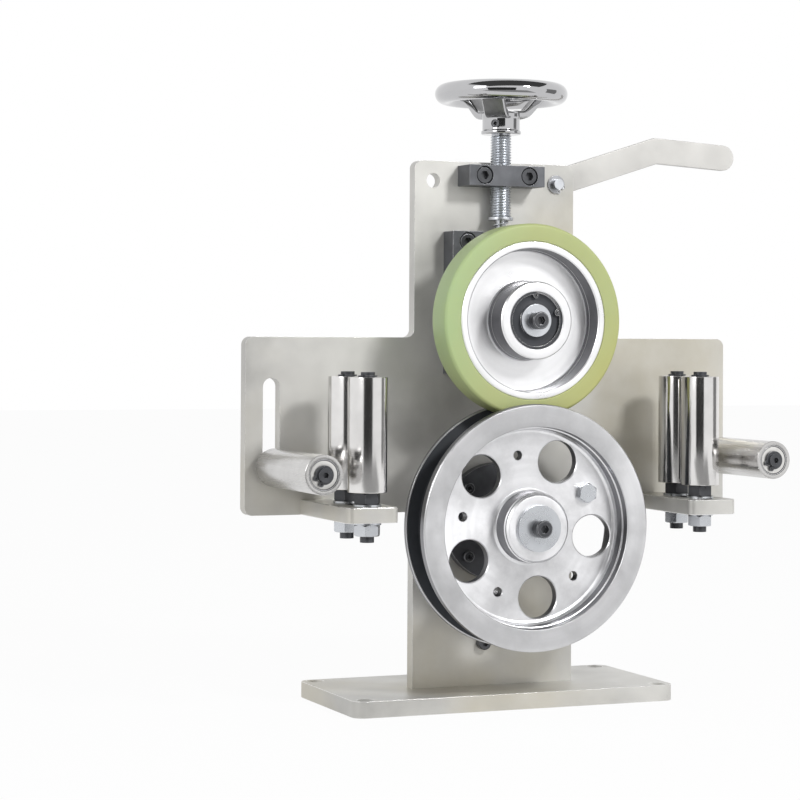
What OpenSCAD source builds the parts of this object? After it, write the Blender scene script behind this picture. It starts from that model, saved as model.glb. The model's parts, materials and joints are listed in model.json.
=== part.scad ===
// Cable length counter: a cable is squeezed between a sprung pressure wheel and a grooved metering
// wheel whose groove is half a metre round, so two turns pass one metre.
// +X runs along the upright plate, +Y away from the viewer, +Z up. The origin is at the middle of
// the base plate's underside. Lengths are in millimetres.

/* [Base plate] */
// Width of the base plate
base_w = 260; // [180:1:400]
// Depth of the base plate
base_d = 120; // [100:1:220]
// Thickness of the base plate
base_t = 12; // [8:0.5:20]
// Radius of the base plate's corners
base_corner_r = 9; // [2:0.5:20]
// Distance of the bolt holes from the base's left and right edges
base_hole_side = 11; // [9:0.5:30]
// Distance of the bolt holes from the base's front and back edges
base_hole_end = 8; // [7.5:0.5:16]
// Diameter of the bolt holes
base_hole_d = 6.6; // [4:0.1:9]
// Depth of the base in front of the upright plate
upright_setback = 48; // [30:1:70]

/* [Upright plate] */
// Thickness of the upright plate
plate_t = 10; // [6:0.5:14]
// Height of the plate's top edge above the floor
plate_top = 406; // [400:1:440]
// Width of the column
column_w = 132; // [118:1:170]
// Width across both wings
wing_span = 397; // [390:1:460]
// Height of the wings' lower edge above the floor
wing_bottom = 143.5; // [120:0.5:144]
// Height of the wings
wing_h = 130; // [115:1:180]
// Radius of the plate's corners
plate_corner_r = 6; // [2:0.5:12]
// Distance of the wing slots from the wings' outer ends
wing_slot_inset = 20.1; // [16:0.1:26]
// Width of the wing slots
wing_slot_w = 13; // [10.6:0.1:15]
// Height of the lower end of the wing slots
wing_slot_bottom = 172; // [160:0.5:172]
// Length of the wing slots
wing_slot_l = 71.5; // [40:0.5:75]

/* [Metering wheel] */
// Height of the metering wheel's axis
meter_z = 135.5; // [110:0.5:140]
// Diameter of the groove's running surface
groove_d = 159.15; // [140:0.05:165]
// Diameter of the flanges
flange_d = 180; // [170:0.5:200]
// Distance of the wheel's front face from the plate
meter_front = 76.5; // [60:0.5:90]
// Width of the whole wheel
meter_w = 37; // [35:0.5:50]
// Thickness of the front flange
front_flange_t = 7; // [3:0.5:9]
// Thickness of the rear flange
rear_flange_t = 4; // [3:0.5:6]
// Inner diameter of the rim
rim_inner_d = 147; // [138:0.5:148]
// Depth of the web behind the front face
web_depth = 16.5; // [10:0.5:18]
// Thickness of the web
web_t = 8; // [5:0.5:12]
// Diameter of the hub boss
meter_boss_d = 52; // [44:0.5:60]
// Height of the hub boss above the front face
meter_boss_proud = 1; // [0:0.1:4]
// Thickness of the dark running layer in the groove
lining_t = 2; // [1:0.1:2.5]
// Radius of the circle that the holes in the web lie on
web_hole_r = 52.8; // [50:0.1:54]
// Diameter of the round windows in the web
window_d = 31; // [16:0.5:34]
// Diameter of the small tapped holes in the web
tapped_hole_d = 6.8; // [4:0.1:8]
// Number of windows, and of small holes between them
window_count = 5; // [3:1:5]
// Diameter of the metering shaft
shaft_d = 20; // [16:0.5:20]
// Diameter of the end washer
meter_washer_d = 34; // [26:0.5:42]
// Thickness of the end washer
meter_washer_t = 3; // [2:0.5:5]
// Length of the free rear stub of the shaft
stub_l = 25; // [15:1:40]
// Diameter of the free rear stub of the shaft
stub_d = 15; // [8:0.5:15.5]

/* [Pressure wheel] */
// Diameter of the tyre
tyre_d = 142; // [136:0.5:150]
// Width of the tyre
tyre_w = 24.5; // [20:0.5:25]
// Diameter of the aluminium hub under the tyre
hub_d = 116; // [104:0.5:124]
// Diameter of the dished face
dish_d = 105.2; // [90:0.5:110]
// Depth of the dished face
dish_depth = 18; // [10:0.5:19]
// Diameter of the hub boss
hub_boss_d = 57; // [50:0.5:64]
// Height of the boss in front of the tyre
hub_boss_proud = 5; // [4:0.5:10]
// Length of the boss
hub_boss_l = 40; // [39.5:0.5:42]
// Gap between the tyre and the groove when the slide is at the bottom
nip_gap = 0.3; // [0.2:0.1:2]
// How far the pressure wheel can be lifted
lift_travel = 12; // [4:0.5:13]

/* [Bearings] */
// Outer diameter of the wheel bearings
wheel_bearing_d = 42; // [40:0.5:44]
// Width of the wheel bearings
wheel_bearing_w = 12; // [8:0.5:13]
// Outer diameter of the roller bearings
roller_bearing_d = 22; // [19:0.5:22.5]
// Width of the roller bearings
roller_bearing_w = 6; // [4:0.5:8]
// Diameter of the housing flange
housing_flange_d = 88; // [80:0.5:92]
// Thickness of the housing flange
housing_flange_t = 8; // [6:0.5:12]
// Outer diameter of the housing barrel
housing_barrel_d = 56; // [50:0.5:58]
// Length of the housing barrel behind the plate's front face
housing_barrel_l = 36; // [33:0.5:50]

/* [Slide] */
// Width of each slide rail
rail_w = 25; // [24:0.5:28]
// Height of the rails
rail_h = 107; // [100:0.5:107]
// Depth of the rails
rail_depth = 18; // [18:0.5:20]
// Gap between the rails, in front
rail_gap = 35; // [33:0.5:36]
// Height of the rails above the pressure wheel's axis
rail_above_axis = 66.8; // [66:0.1:67.4]
// Depth of the step that traps the slide block behind each rail
rail_step = 6; // [3:0.5:6]
// Height of the slide block
slide_h = 75; // [66:0.5:76]
// Height of the slide block above the axis
slide_above_axis = 44.6; // [42:0.2:46]
// Width of the tongue that passes through the plate
tongue_w = 15.4; // [12:0.2:16]
// Height of the tongue
tongue_h = 50; // [46:0.5:52]
// Height of the tongue above the axis
tongue_above_axis = 31.6; // [30:0.2:32]
// Thickness of the lift plate
lift_plate_t = 6; // [4:0.5:8]
// Width of the lift plate
lift_plate_w = 28; // [26:0.5:34]

/* [Screw gear] */
// Diameter of the spindle's thread
spindle_d = 16; // [14:0.5:16]
// Pitch of the spindle's thread
spindle_pitch = 2; // [1.5:0.25:2.5]
// Distance of the spindle's axis from the plate
spindle_y = 10; // [9.8:0.1:10.4]
// Width of the screw block
block_w = 62; // [62:0.5:70]
// Depth of the screw block
block_depth = 22; // [20:0.5:26]
// Height of the screw block
block_h = 15.5; // [15:0.5:17]
// Height of the screw block's underside above the floor
block_z = 387.2; // [386:0.2:388]
// Distance of the block's screws from the middle
block_screw_x = 18.4; // [16.5:0.1:20]
// Diameter of the spindle's lower spigot, inside the spring
spigot_d = 8; // [6:0.5:8]
// Length of the spigot
spigot_l = 29; // [10:0.5:29]
// Height of the spring seat's upper face above the floor
seat_z = 364.4; // [363:0.1:366]
// Diameter of the spring seat
seat_d = 19; // [16:0.5:19]
// Thickness of the spring seat
seat_t = 2.5; // [1.5:0.5:4]
// Outer diameter of the spring
spring_d = 12; // [11.9:0.1:12.2]
// Diameter of the spring's wire
spring_wire_d = 1.6; // [1:0.1:1.6]
// Turns of the spring
spring_turns = 9; // [5:1:12]
// Diameter of the handwheel
handwheel_d = 100; // [80:1:116]
// Thickness of the handwheel's rim
rim_t = 14.8; // [10:0.2:18]
// Height of the rim's centre line above the floor
rim_z = 457; // [452:0.5:464]
// Diameter of the handwheel's hub
handwheel_hub_d = 30; // [24:0.5:34]
// Height of the hub's underside above the floor
handwheel_hub_z = 426.5; // [424:0.5:428]
// Height of the hub
handwheel_hub_h = 17; // [14:0.5:18]
// Width of the spokes
spoke_w = 18; // [10:0.5:20]
// Thickness of the spokes
spoke_t = 6; // [4:0.5:6]
// Distance from the axis at which the spokes' undersides start to climb
spoke_root_r = 19.5; // [17:0.5:22]
// Direction of the first spoke
spoke_turn = 232; // [0:1:360]
// Direction of the grub screw
grub_turn = 226; // [0:1:360]
// Height of the grub screw above the hub's underside
grub_rise = 7.5; // [6:0.5:9]

/* [Lever] */
// Distance of the pivot hole, and of the spare hole, from the middle
lever_x = 51; // [50:0.1:53]
// Height of the pivot hole above the floor
lever_z = 391.1; // [390:0.1:392]
// Diameter of the pivot
lever_pivot_d = 11; // [9:0.1:12]
// Width of the lever bar
lever_w = 20; // [18:0.5:22]
// Thickness of the lever bar
lever_t = 5; // [3:0.5:6]
// Slope of the first stretch of the lever
lever_slope = 17.8; // [17:0.1:18.4]
// Reach of the first stretch to the right of the pivot
lever_bend_x = 92.5; // [60:0.5:110]
// Slope of the handle stretch
handle_slope = -3.4; // [-10:0.2:6]
// Length of the handle stretch
handle_l = 60; // [40:0.5:90]
// Diameter of the lift pin
lift_pin_d = 8; // [6:0.5:8]

/* [Guide bars] */
// Distance of the bars' middle lines from the wings' outer ends
bar_inset = 62.8; // [62:0.1:63.5]
// Width of the bars
bar_w = 39; // [34:0.5:40]
// Reach of the bars in front of the plate
bar_l = 95; // [93:0.5:120]
// Thickness of the bars
bar_t = 11; // [8:0.5:14]
// Radius of the bars' front corners
bar_corner_r = 5; // [1:0.5:10]
// Width of the slots in the bars
bar_slot_w = 11; // [10.4:0.1:14]
// Distance of the slot's front end from the bar's front end
bar_slot_margin = 5.5; // [5:0.5:5.5]
// Length of the slots in the bars
bar_slot_l = 59.5; // [59.5:0.5:62]

/* [Guide rollers] */
// Diameter of the roller tubes
roller_d = 28; // [26:0.5:28]
// Wall thickness of the roller tubes
roller_wall = 3; // [2:0.1:4]
// Length of the upright rollers
upright_roller_l = 81; // [50:0.5:110]
// Length of the level rollers
level_roller_l = 102; // [60:0.5:120]
// Diameter of the roller axles
roller_axle_d = 10; // [8:0.5:10]
// Distance of the left front upright roller from the bar's front end
left_front_inset = 13; // [12.8:0.1:13.2]
// Distance between the left pair's axes
left_pair_spacing = 39; // [38.8:0.1:39.4]
// Distance of the right front upright roller from the bar's front end
right_front_inset = 21; // [20.6:0.1:21.2]
// Distance between the right pair's axes
right_pair_spacing = 35.3; // [35:0.1:35.4]
// Height of the left level roller
left_level_z = 178.7; // [178.6:0.1:182]
// Height of the right level roller
right_level_z = 183.9; // [180:0.1:186]
// Width across flats of the axle nuts
nut_af = 17; // [13:0.5:18]
// Height of the axle nuts
nut_h = 8; // [5:0.5:8]
// Height of the thin nut behind a level roller
thin_nut_h = 5; // [3:0.5:6]
// Diameter of the axle washers
washer_d = 20; // [18:0.5:21]
// Thickness of the axle washers
washer_t = 1.6; // [1:0.1:2.5]

/* [Sensor] */
// Diameter of the proximity sensor
sensor_d = 12; // [8:0.5:12]
// Length of the proximity sensor
sensor_l = 66; // [60:1:90]
// Gap between the sensor and the trigger bolt
sensor_gap = 2.5; // [1:0.1:4]
// Distance of the sensor and its bracket to the left of the middle
sensor_x = 9; // [6:0.5:12]
// Height of the bracket screw above the floor
bracket_screw_z = 44; // [42:0.5:48]
// Thickness of the bracket
bracket_t = 4; // [2:0.5:6]
// Width of the bracket
bracket_w = 28; // [24:0.5:30]

/* [Fasteners] */
// Thread diameter of the large screws
screw_d = 8; // [6:0.5:8]
// Head diameter of the large screws
screw_head_d = 13; // [10:0.5:13]
// Head height of the large screws
screw_head_h = 8; // [6:0.5:8]
// Thread diameter of the small screws
small_screw_d = 6; // [4:0.5:6]
// Head diameter of the small screws
small_head_d = 10; // [7:0.5:10]
// Head height of the small screws
small_head_h = 6; // [4:0.5:6]
// Reach of the base screws into the upright plate, and of the bar screws into the bars
screw_grip = 14; // [8:0.5:14]
// Length of the tapped holes past the tips of their screws
tap_run_out = 2; // [1:0.5:4]
// Length of the end screws of both wheels
end_screw_l = 20; // [12:0.5:20]
// Depth of the large screws' heads below the face that they are sunk in
head_sink = 0.6; // [0.2:0.1:1]
// Radial clearance round a sunk head
head_gap = 0.4; // [0.2:0.1:0.6]

/* [Clearances] */
// Radial clearance of pieces fixed to each other
fixed_fit = 0.03; // [0.01:0.01:0.06]
// Radial clearance of a turning or sliding fit
running_fit = 0.05; // [0.02:0.01:0.08]
// Gap between flat faces that pass each other
slip_gap = 0.3; // [0.2:0.05:0.4]
// Gap between a clamped face and its seat
seat_gap = 0.05; // [0.02:0.01:0.08]

/* [Hidden] */
$fn = 96;
eps = 0.01;
plate_y = -base_d / 2 + upright_setback;      // front face of the upright plate
wing_top = wing_bottom + wing_h;
wing_slot_x = wing_span / 2 - wing_slot_inset;
base_hole_x = base_w - 2 * base_hole_side;
base_hole_y = base_d - 2 * base_hole_end;
press_z = meter_z + groove_d / 2 + nip_gap + tyre_d / 2;

// Metering wheel, measured forward from the plate's front face
meter_rear = meter_front - meter_w;
web_front = meter_front - web_depth;
web_rear = web_front - web_t;
groove_front = meter_front - front_flange_t;
groove_rear = meter_rear + rear_flange_t;
groove_mid = (groove_front + groove_rear) / 2;
meter_boss_front = meter_front + meter_boss_proud;
groove_floor_r = groove_d / 2 - lining_t;
first_window_a = 63;                          // direction of the first window
trigger_a = first_window_a - 180 / window_count;
key_w = 6;
key_h = 6;
key_l = 28;
key_bottom_r = shaft_d / 2 - 3.5;

// Metering shaft and housing
housing_front = housing_flange_t;
front_bearing_z = housing_front - wheel_bearing_w - 2;
rear_bearing_z = -housing_barrel_l + 2;
shaft_collar_d = shaft_d + 7;
housing_shoulder_d = wheel_bearing_d - 6;
shaft_clip_t = 1.2;
shaft_rear = rear_bearing_z - 8;
housing_screw_count = 4;
housing_screw_r = (housing_flange_d + housing_barrel_d) / 4;
housing_screw_head_d = 8.5;
housing_screw_d = 5;

// Pressure wheel, measured forward from the plate's front face
tyre_front = groove_mid + tyre_w / 2;
tyre_rear = tyre_front - tyre_w;
dish_z = tyre_front - dish_depth;
hub_boss_front = tyre_front + hub_boss_proud;
hub_boss_rear = hub_boss_front - hub_boss_l;
ring_clip_t = 1.7;
ring_clip_depth = 1.5;
bearing_out_front = hub_boss_front - ring_clip_depth - ring_clip_t;
bearing_in_rear = hub_boss_rear + 1;
bearing_shoulder_d = wheel_bearing_d - 5;
ring_groove = 1.1;
end_washer_d = 24;
end_washer_t = 2.5;
axle_shoulder_d = shaft_d + 8;
axle_end = bearing_out_front - slip_gap;
end_washer_z = bearing_out_front + seat_gap;

// Slide
rail_top = press_z + rail_above_axis;
rail_bottom = rail_top - rail_h;
rail_x = rail_gap / 2;
rail_step_depth = rail_depth / 2;
slide_front = rail_depth - slip_gap;
slide_top = press_z + slide_above_axis;
slide_bottom = slide_top - slide_h;
slide_wing_w = rail_gap + 2 * rail_step - 2 * slip_gap;
tongue_top = press_z + tongue_above_axis;
tongue_bottom = tongue_top - tongue_h;
slot_side_gap = 0.5;
plate_slot_w = tongue_w + 2 * slot_side_gap;
plate_slot_bottom = tongue_bottom - slip_gap;
plate_slot_top = tongue_top + lift_travel + slip_gap;
axle_socket_depth = 13;
rail_screw_inset = 8;
rail_screw_x = rail_x + rail_w / 2;
spring_pocket_d = spring_d + 1;
spring_pocket_depth = 20;

// Lever and lift plate, measured backward from the plate's front face
lever_front = plate_t + slip_gap;
lever_rear = lever_front + lever_t;
lift_plate_front = lever_rear + 1.2;
lift_plate_rear = lift_plate_front + lift_plate_t;
lever_arm = lever_x / cos(lever_slope);
lift_pin_z = lever_z - lever_x * tan(lever_slope);
lever_slot_w = lift_pin_d + 1;
lever_slot_l = lever_slot_w + 6.5;
lever_tail_l = lever_arm + lever_w / 2 + 1;
lever_eye_gap = 0.04;
lift_plate_top = lift_pin_z + 11;
lift_plate_bottom = tongue_bottom - 4;
lift_screw_z = [press_z, tongue_top - 15];
lift_screw_grip = 9;
pin_head_d = lever_pivot_d + 7;
pin_head_t = 4;
pin_tip_d = 8;
pin_tip_l = 6;
pin_ring_t = 1.1;
pin_ring_d = pin_tip_d + 6;

// Screw gear
thread_depth = 0.55 * spindle_pitch;
thread_top = handwheel_hub_z - 0.5;
spindle_top_d = spindle_d - 2;
spring_bottom = slide_top - spring_pocket_depth;
spring_top = seat_z - seat_t;
grub_d = 6;
grub_z = handwheel_hub_z + grub_rise;
handwheel_hub_top = handwheel_hub_z + handwheel_hub_h;
spoke_root_z = handwheel_hub_top - 0.7 * spoke_t;
rim_r = (handwheel_d - rim_t) / 2;

// Guide bars and rollers
bar_x = wing_span / 2 - bar_inset;
bar_top = wing_bottom + bar_t;
bar_slot_front = bar_l - bar_slot_margin;
bar_slot_rear = bar_slot_front - bar_slot_l;
left_front_y = bar_l - left_front_inset;
left_rear_y = left_front_y - left_pair_spacing;
right_front_y = bar_l - right_front_inset;
right_rear_y = right_front_y - right_pair_spacing;
roller_ring_d = roller_axle_d + 3.4;
roller_ring_eye_d = 3.6;
stud_tip_l = 4.5;
bar_screw_spread = 11;
roller_ring_t = 1.1;
axle_tip_l = 3.5;
upright_nut_z = bar_top + washer_t + seat_gap;
upright_roller_z = upright_nut_z + nut_h + slip_gap;
lower_nut_z = wing_bottom - washer_t - nut_h - seat_gap;
level_roller_rear = washer_t + thin_nut_h + slip_gap + seat_gap;
level_nut_rear = plate_t + washer_t + nut_h + seat_gap;

// Sensor
sensor_z = meter_z - sqrt(pow(web_hole_r, 2) - pow(sensor_x, 2));
trigger_nut_h = 6.5;
trigger_head_h = 5.3;
trigger_af = 13;
trigger_tip = web_rear - trigger_nut_h - 2.5;
sensor_front = trigger_tip - sensor_gap;
sensor_nut_af = 17;
sensor_nut_h = 4;
sensor_hole_d = 22;
bracket_bottom = bracket_screw_z - 10;
bracket_top = sensor_z + 14;

// Base screws
base_screw_x = column_w / 2 - 21;
base_head_top = small_head_h + 0.5;

// Colours
plate_grey = [0.68, 0.67, 0.64];
turned_aluminium = [0.86, 0.86, 0.87];
black_steel = [0.13, 0.14, 0.16];
zinc = [0.78, 0.81, 0.86];
bearing_steel = [0.62, 0.62, 0.63];
bright_chrome = [0.80, 0.81, 0.82];
tyre_green = [0.69, 0.74, 0.50];
pale_steel = [0.90, 0.90, 0.88];

// Places children with local Z forward from the plate's front face, local Y up.
module on_plate(x = 0, z = 0) {
    translate([x, plate_y, z]) rotate([90, 0, 0]) children();
}

// A rectangle around the origin with round corners.
module rounded_rect(w, h, r) {
    square([w - 2 * r, h], center = true);
    square([w, h - 2 * r], center = true);
    for (sx = [-1, 1], sy = [-1, 1]) translate([sx * (w / 2 - r), sy * (h / 2 - r)]) circle(r);
}

// A slot outline that runs up local Y from its lowest point.
module slot_outline(w, l) {
    translate([-w / 2, w / 2]) square([w, l - w]);
    for (y = [w / 2, l - w / 2]) translate([0, y]) circle(w / 2);
}

// A ring around local Z between two heights.
module ring(outer_d, inner_d, z0, z1) {
    translate([0, 0, z0]) difference() {
        cylinder(d = outer_d, h = z1 - z0);
        translate([0, 0, -1]) cylinder(d = inner_d, h = z1 - z0 + 2);
    }
}

// A ball bearing with its shields set back a little between the two races.
module ball_bearing(bore_d, outer_d, width, z0) {
    race = (outer_d - bore_d) / 2;
    shield_set = 0.4;
    translate([0, 0, z0]) difference() {
        cylinder(d = outer_d, h = width);
        translate([0, 0, -1]) cylinder(d = bore_d, h = width + 2);
        ring(outer_d - 0.36 * race, bore_d + 0.5 * race, -1, shield_set);
        ring(outer_d - 0.36 * race, bore_d + 0.5 * race, width - shield_set, width + 1);
    }
}

// A cap screw along local Z: its head's underside is at 0 and its thread runs to -length.
module cap_screw(d, head_d, head_h, length) {
    socket_af = 0.75 * d;
    edge = 0.06 * head_d;
    difference() {
        rotate_extrude() polygon([
            [0, 0], [head_d / 2, 0], [head_d / 2, head_h - edge], [head_d / 2 - edge, head_h], [0, head_h]
        ]);
        translate([0, 0, head_h / 2]) cylinder(d = socket_af / cos(30), h = head_h, $fn = 6);
    }
    translate([0, 0, -length]) cylinder(d = d, h = length + eps);
}

// A hexagon with its corners turned off at both faces.
module hex_body(af, h, z0) {
    corner_d = af / cos(30);
    turn_off = 0.12 * h;
    translate([0, 0, z0]) intersection() {
        cylinder(d = corner_d, h = h, $fn = 6);
        rotate_extrude() polygon([
            [0, 0], [af / 2, 0], [corner_d / 2, turn_off], [corner_d / 2, h - turn_off], [af / 2, h], [0, h]
        ]);
    }
}

module hex_nut(af, h, bore_d, z0) {
    difference() {
        hex_body(af, h, z0);
        translate([0, 0, z0 - 1]) cylinder(d = bore_d, h = h + 2);
    }
}

// An open retaining ring around local Z with two eyes; mid_a is the middle of its opening.
module retaining_ring(outer_d, inner_d, z0, t, mid_a, open_a, eye_d, eye_r) {
    translate([0, 0, z0]) linear_extrude(t) difference() {
        union() {
            difference() {
                circle(d = outer_d);
                circle(d = inner_d);
                polygon([[0, 0], for (a = [-open_a / 2, 0, open_a / 2])
                    outer_d * [cos(mid_a + a), sin(mid_a + a)]]);
            }
            for (s = [-1, 1]) rotate(mid_a + s * open_a / 2) translate([eye_r, 0]) circle(d = eye_d);
        }
        for (s = [-1, 1]) rotate(mid_a + s * open_a / 2) translate([eye_r, 0]) circle(d = eye_d / 3);
    }
}

// ---- Frame ----

module base_plate() {
    color(plate_grey) difference() {
        linear_extrude(base_t) rounded_rect(base_w, base_d, base_corner_r);
        for (sx = [-1, 1], sy = [-1, 1]) translate([sx * base_hole_x / 2, sy * base_hole_y / 2, 0]) {
            translate([0, 0, -1]) cylinder(d = base_hole_d, h = base_t + 2);
            sink = base_hole_d / 2;
            translate([0, 0, base_t - sink])
                cylinder(d1 = base_hole_d, d2 = base_hole_d + 2 * sink, h = sink);
        }
        for (x = [-base_screw_x, 0, base_screw_x]) translate([x, plate_y + plate_t / 2, 0]) {
            translate([0, 0, -1]) cylinder(d = small_screw_d + 2 * fixed_fit, h = base_t + 2);
            translate([0, 0, -eps]) cylinder(d = small_head_d + 2 * fixed_fit, h = base_head_top + eps);
        }
    }
}

// Column and wings, with a small round in each inner corner.
module plate_outline() {
    r = plate_corner_r;
    column_h = plate_top - base_t;
    translate([0, base_t + column_h / 2]) rounded_rect(column_w, column_h, r);
    translate([-column_w / 2, base_t]) square([column_w, r * 2]);
    translate([0, wing_bottom + wing_h / 2]) rounded_rect(wing_span, wing_h, r);
    for (sx = [-1, 1], z = [wing_bottom, wing_top]) {
        side = z == wing_top ? 1 : -1;
        translate([sx * column_w / 2, z]) difference() {
            translate([sx > 0 ? -eps : -r, side > 0 ? -eps : -r]) square(r + eps);
            translate([sx * r, side * r]) circle(r);
        }
    }
}

module back_plate() {
    color(plate_grey) on_plate() translate([0, 0, -plate_t]) difference() {
        linear_extrude(plate_t) difference() {
            plate_outline();
            for (sx = [-1, 1]) translate([sx * wing_slot_x, wing_slot_bottom])
                slot_outline(wing_slot_w, wing_slot_l);
            translate([0, plate_slot_bottom])
                slot_outline(plate_slot_w, plate_slot_top - plate_slot_bottom);
        }
        translate([0, 0, -1]) {
            for (sx = [-1, 1]) translate([sx * lever_x, lever_z])
                cylinder(d = lever_pivot_d, h = plate_t + 2);
            translate([0, meter_z]) cylinder(d = housing_barrel_d + 2 * fixed_fit, h = plate_t + 2);
            for (sx = [-1, 1]) {
                translate([sx * block_screw_x, block_z + block_h / 2]) screw_hole(screw_d);
                for (z = [rail_bottom + rail_screw_inset, rail_top - rail_screw_inset])
                    translate([sx * rail_screw_x, z]) screw_hole(screw_d);
                for (dx = [-bar_screw_spread, bar_screw_spread])
                    translate([sx * bar_x + dx, wing_bottom + bar_t / 2]) screw_hole(small_screw_d);
            }
            for (i = [0 : housing_screw_count - 1]) translate([0, meter_z])
                rotate(45 + i * 360 / housing_screw_count) translate([housing_screw_r, 0])
                    screw_hole(housing_screw_d);
            translate([-sensor_x, sensor_z]) cylinder(d = sensor_hole_d, h = plate_t + 2);
            translate([-sensor_x, bracket_screw_z]) screw_hole(small_screw_d);
        }
        for (x = [-base_screw_x, 0, base_screw_x])
            translate([x, base_t - 1, plate_t / 2]) rotate([-90, 0, 0])
                cylinder(d = small_screw_d + 2 * fixed_fit, h = screw_grip + tap_run_out);
    }
}

module screw_hole(d) {
    cylinder(d = d + 2 * fixed_fit, h = plate_t + 2);
}

module base_screws() {
    color(black_steel) for (x = [-base_screw_x, 0, base_screw_x])
        translate([x, plate_y + plate_t / 2, base_head_top]) rotate([180, 0, 0])
            cap_screw(small_screw_d, small_head_d, small_head_h, base_t + screw_grip - base_head_top);
}

// side is -1 for the left bar and 1 for the right one.
module guide_bar(side) {
    color(plate_grey) translate([side * bar_x, plate_y, wing_bottom]) difference() {
        linear_extrude(bar_t) difference() {
            union() {
                translate([0, -bar_l / 2]) rounded_rect(bar_w, bar_l, bar_corner_r);
                translate([-bar_w / 2, -bar_corner_r * 2]) square([bar_w, bar_corner_r * 2]);
            }
            translate([0, -bar_slot_front]) slot_outline(bar_slot_w, bar_slot_front - bar_slot_rear);
        }
        for (dx = [-bar_screw_spread, bar_screw_spread])
            translate([dx, 1, bar_t / 2]) rotate([90, 0, 0])
                cylinder(d = small_screw_d + 2 * fixed_fit, h = screw_grip + tap_run_out + 3);
    }
}

module guide_bar_left() { guide_bar(-1); }
module guide_bar_right() { guide_bar(1); }

module bar_screws() {
    color(black_steel) for (sx = [-1, 1], dx = [-bar_screw_spread, bar_screw_spread])
        on_plate(sx * bar_x + dx, wing_bottom + bar_t / 2) translate([0, 0, -plate_t]) rotate([180, 0, 0])
            cap_screw(small_screw_d, small_head_d, small_head_h, plate_t + screw_grip);
}

module screw_block() {
    color(black_steel) difference() {
        translate([-block_w / 2, plate_y - block_depth, block_z]) cube([block_w, block_depth, block_h]);
        translate([0, plate_y - spindle_y, block_z - 1])
            cylinder(d = spindle_d + 2 * running_fit, h = block_h + 2);
        for (sx = [-1, 1]) on_plate(sx * block_screw_x, block_z + block_h / 2) {
            translate([0, 0, -1]) cylinder(d = screw_d + 2 * fixed_fit, h = block_depth + 2);
            translate([0, 0, block_depth - screw_head_h - head_sink])
                cylinder(d = screw_head_d + 2 * head_gap, h = screw_head_h + 2);
        }
    }
}

module block_screws() {
    color(black_steel) for (sx = [-1, 1]) on_plate(sx * block_screw_x, block_z + block_h / 2)
        translate([0, 0, block_depth - screw_head_h - head_sink])
            cap_screw(screw_d, screw_head_d, screw_head_h,
                      block_depth - screw_head_h - head_sink + plate_t - 1);
}

// side is -1 for the left rail and 1 for the right one.
module slide_rail(side) {
    left = side > 0 ? rail_x : -rail_x - rail_w;
    step_left = side > 0 ? rail_x - 1 : -rail_x - rail_step;
    color(black_steel) difference() {
        translate([left, plate_y - rail_depth, rail_bottom]) cube([rail_w, rail_depth, rail_h]);
        translate([step_left, plate_y - rail_step_depth, rail_bottom - 1])
            cube([rail_step + 1, rail_step_depth + 1, rail_h + 2]);
        for (z = [rail_bottom + rail_screw_inset, rail_top - rail_screw_inset])
            on_plate(side * rail_screw_x, z) {
                translate([0, 0, -1]) cylinder(d = screw_d + 2 * fixed_fit, h = rail_depth + 2);
                translate([0, 0, rail_depth - screw_head_h - head_sink])
                    cylinder(d = screw_head_d + 2 * head_gap, h = screw_head_h + 2);
            }
    }
}

module slide_rail_left() { slide_rail(-1); }
module slide_rail_right() { slide_rail(1); }

module rail_screws() {
    color(black_steel)
        for (sx = [-1, 1], z = [rail_bottom + rail_screw_inset, rail_top - rail_screw_inset])
            on_plate(sx * rail_screw_x, z) translate([0, 0, rail_depth - screw_head_h - head_sink])
                cap_screw(screw_d, screw_head_d, screw_head_h,
                          rail_depth - screw_head_h - head_sink + plate_t - 1);
}

// ---- Metering wheel's bearings and shaft ----

module bearing_housing() {
    color(black_steel) on_plate(0, meter_z) difference() {
        union() {
            cylinder(d = housing_flange_d, h = housing_front);
            translate([0, 0, -housing_barrel_l]) cylinder(d = housing_barrel_d, h = housing_barrel_l + 1);
        }
        translate([0, 0, front_bearing_z])
            cylinder(d = wheel_bearing_d + 2 * fixed_fit, h = wheel_bearing_w + 9);
        translate([0, 0, -housing_barrel_l - 1])
            cylinder(d = wheel_bearing_d + 2 * fixed_fit, h = wheel_bearing_w + 3);
        translate([0, 0, -housing_barrel_l])
            cylinder(d = housing_shoulder_d, h = housing_barrel_l + housing_front);
        for (i = [0 : housing_screw_count - 1])
            rotate(45 + i * 360 / housing_screw_count) translate([housing_screw_r, 0, -1])
                cylinder(d = housing_screw_d + 2 * fixed_fit, h = housing_front + 2);
    }
}

module housing_screws() {
    color(black_steel) on_plate(0, meter_z) for (i = [0 : housing_screw_count - 1])
        rotate(45 + i * 360 / housing_screw_count) translate([housing_screw_r, 0, housing_front])
            cap_screw(housing_screw_d, housing_screw_head_d, housing_screw_d, housing_front + plate_t - 1);
}

module housing_bearings() {
    color(bearing_steel) on_plate(0, meter_z) for (z = [front_bearing_z, rear_bearing_z])
        ball_bearing(shaft_d + 2 * running_fit, wheel_bearing_d, wheel_bearing_w, z);
}

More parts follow.
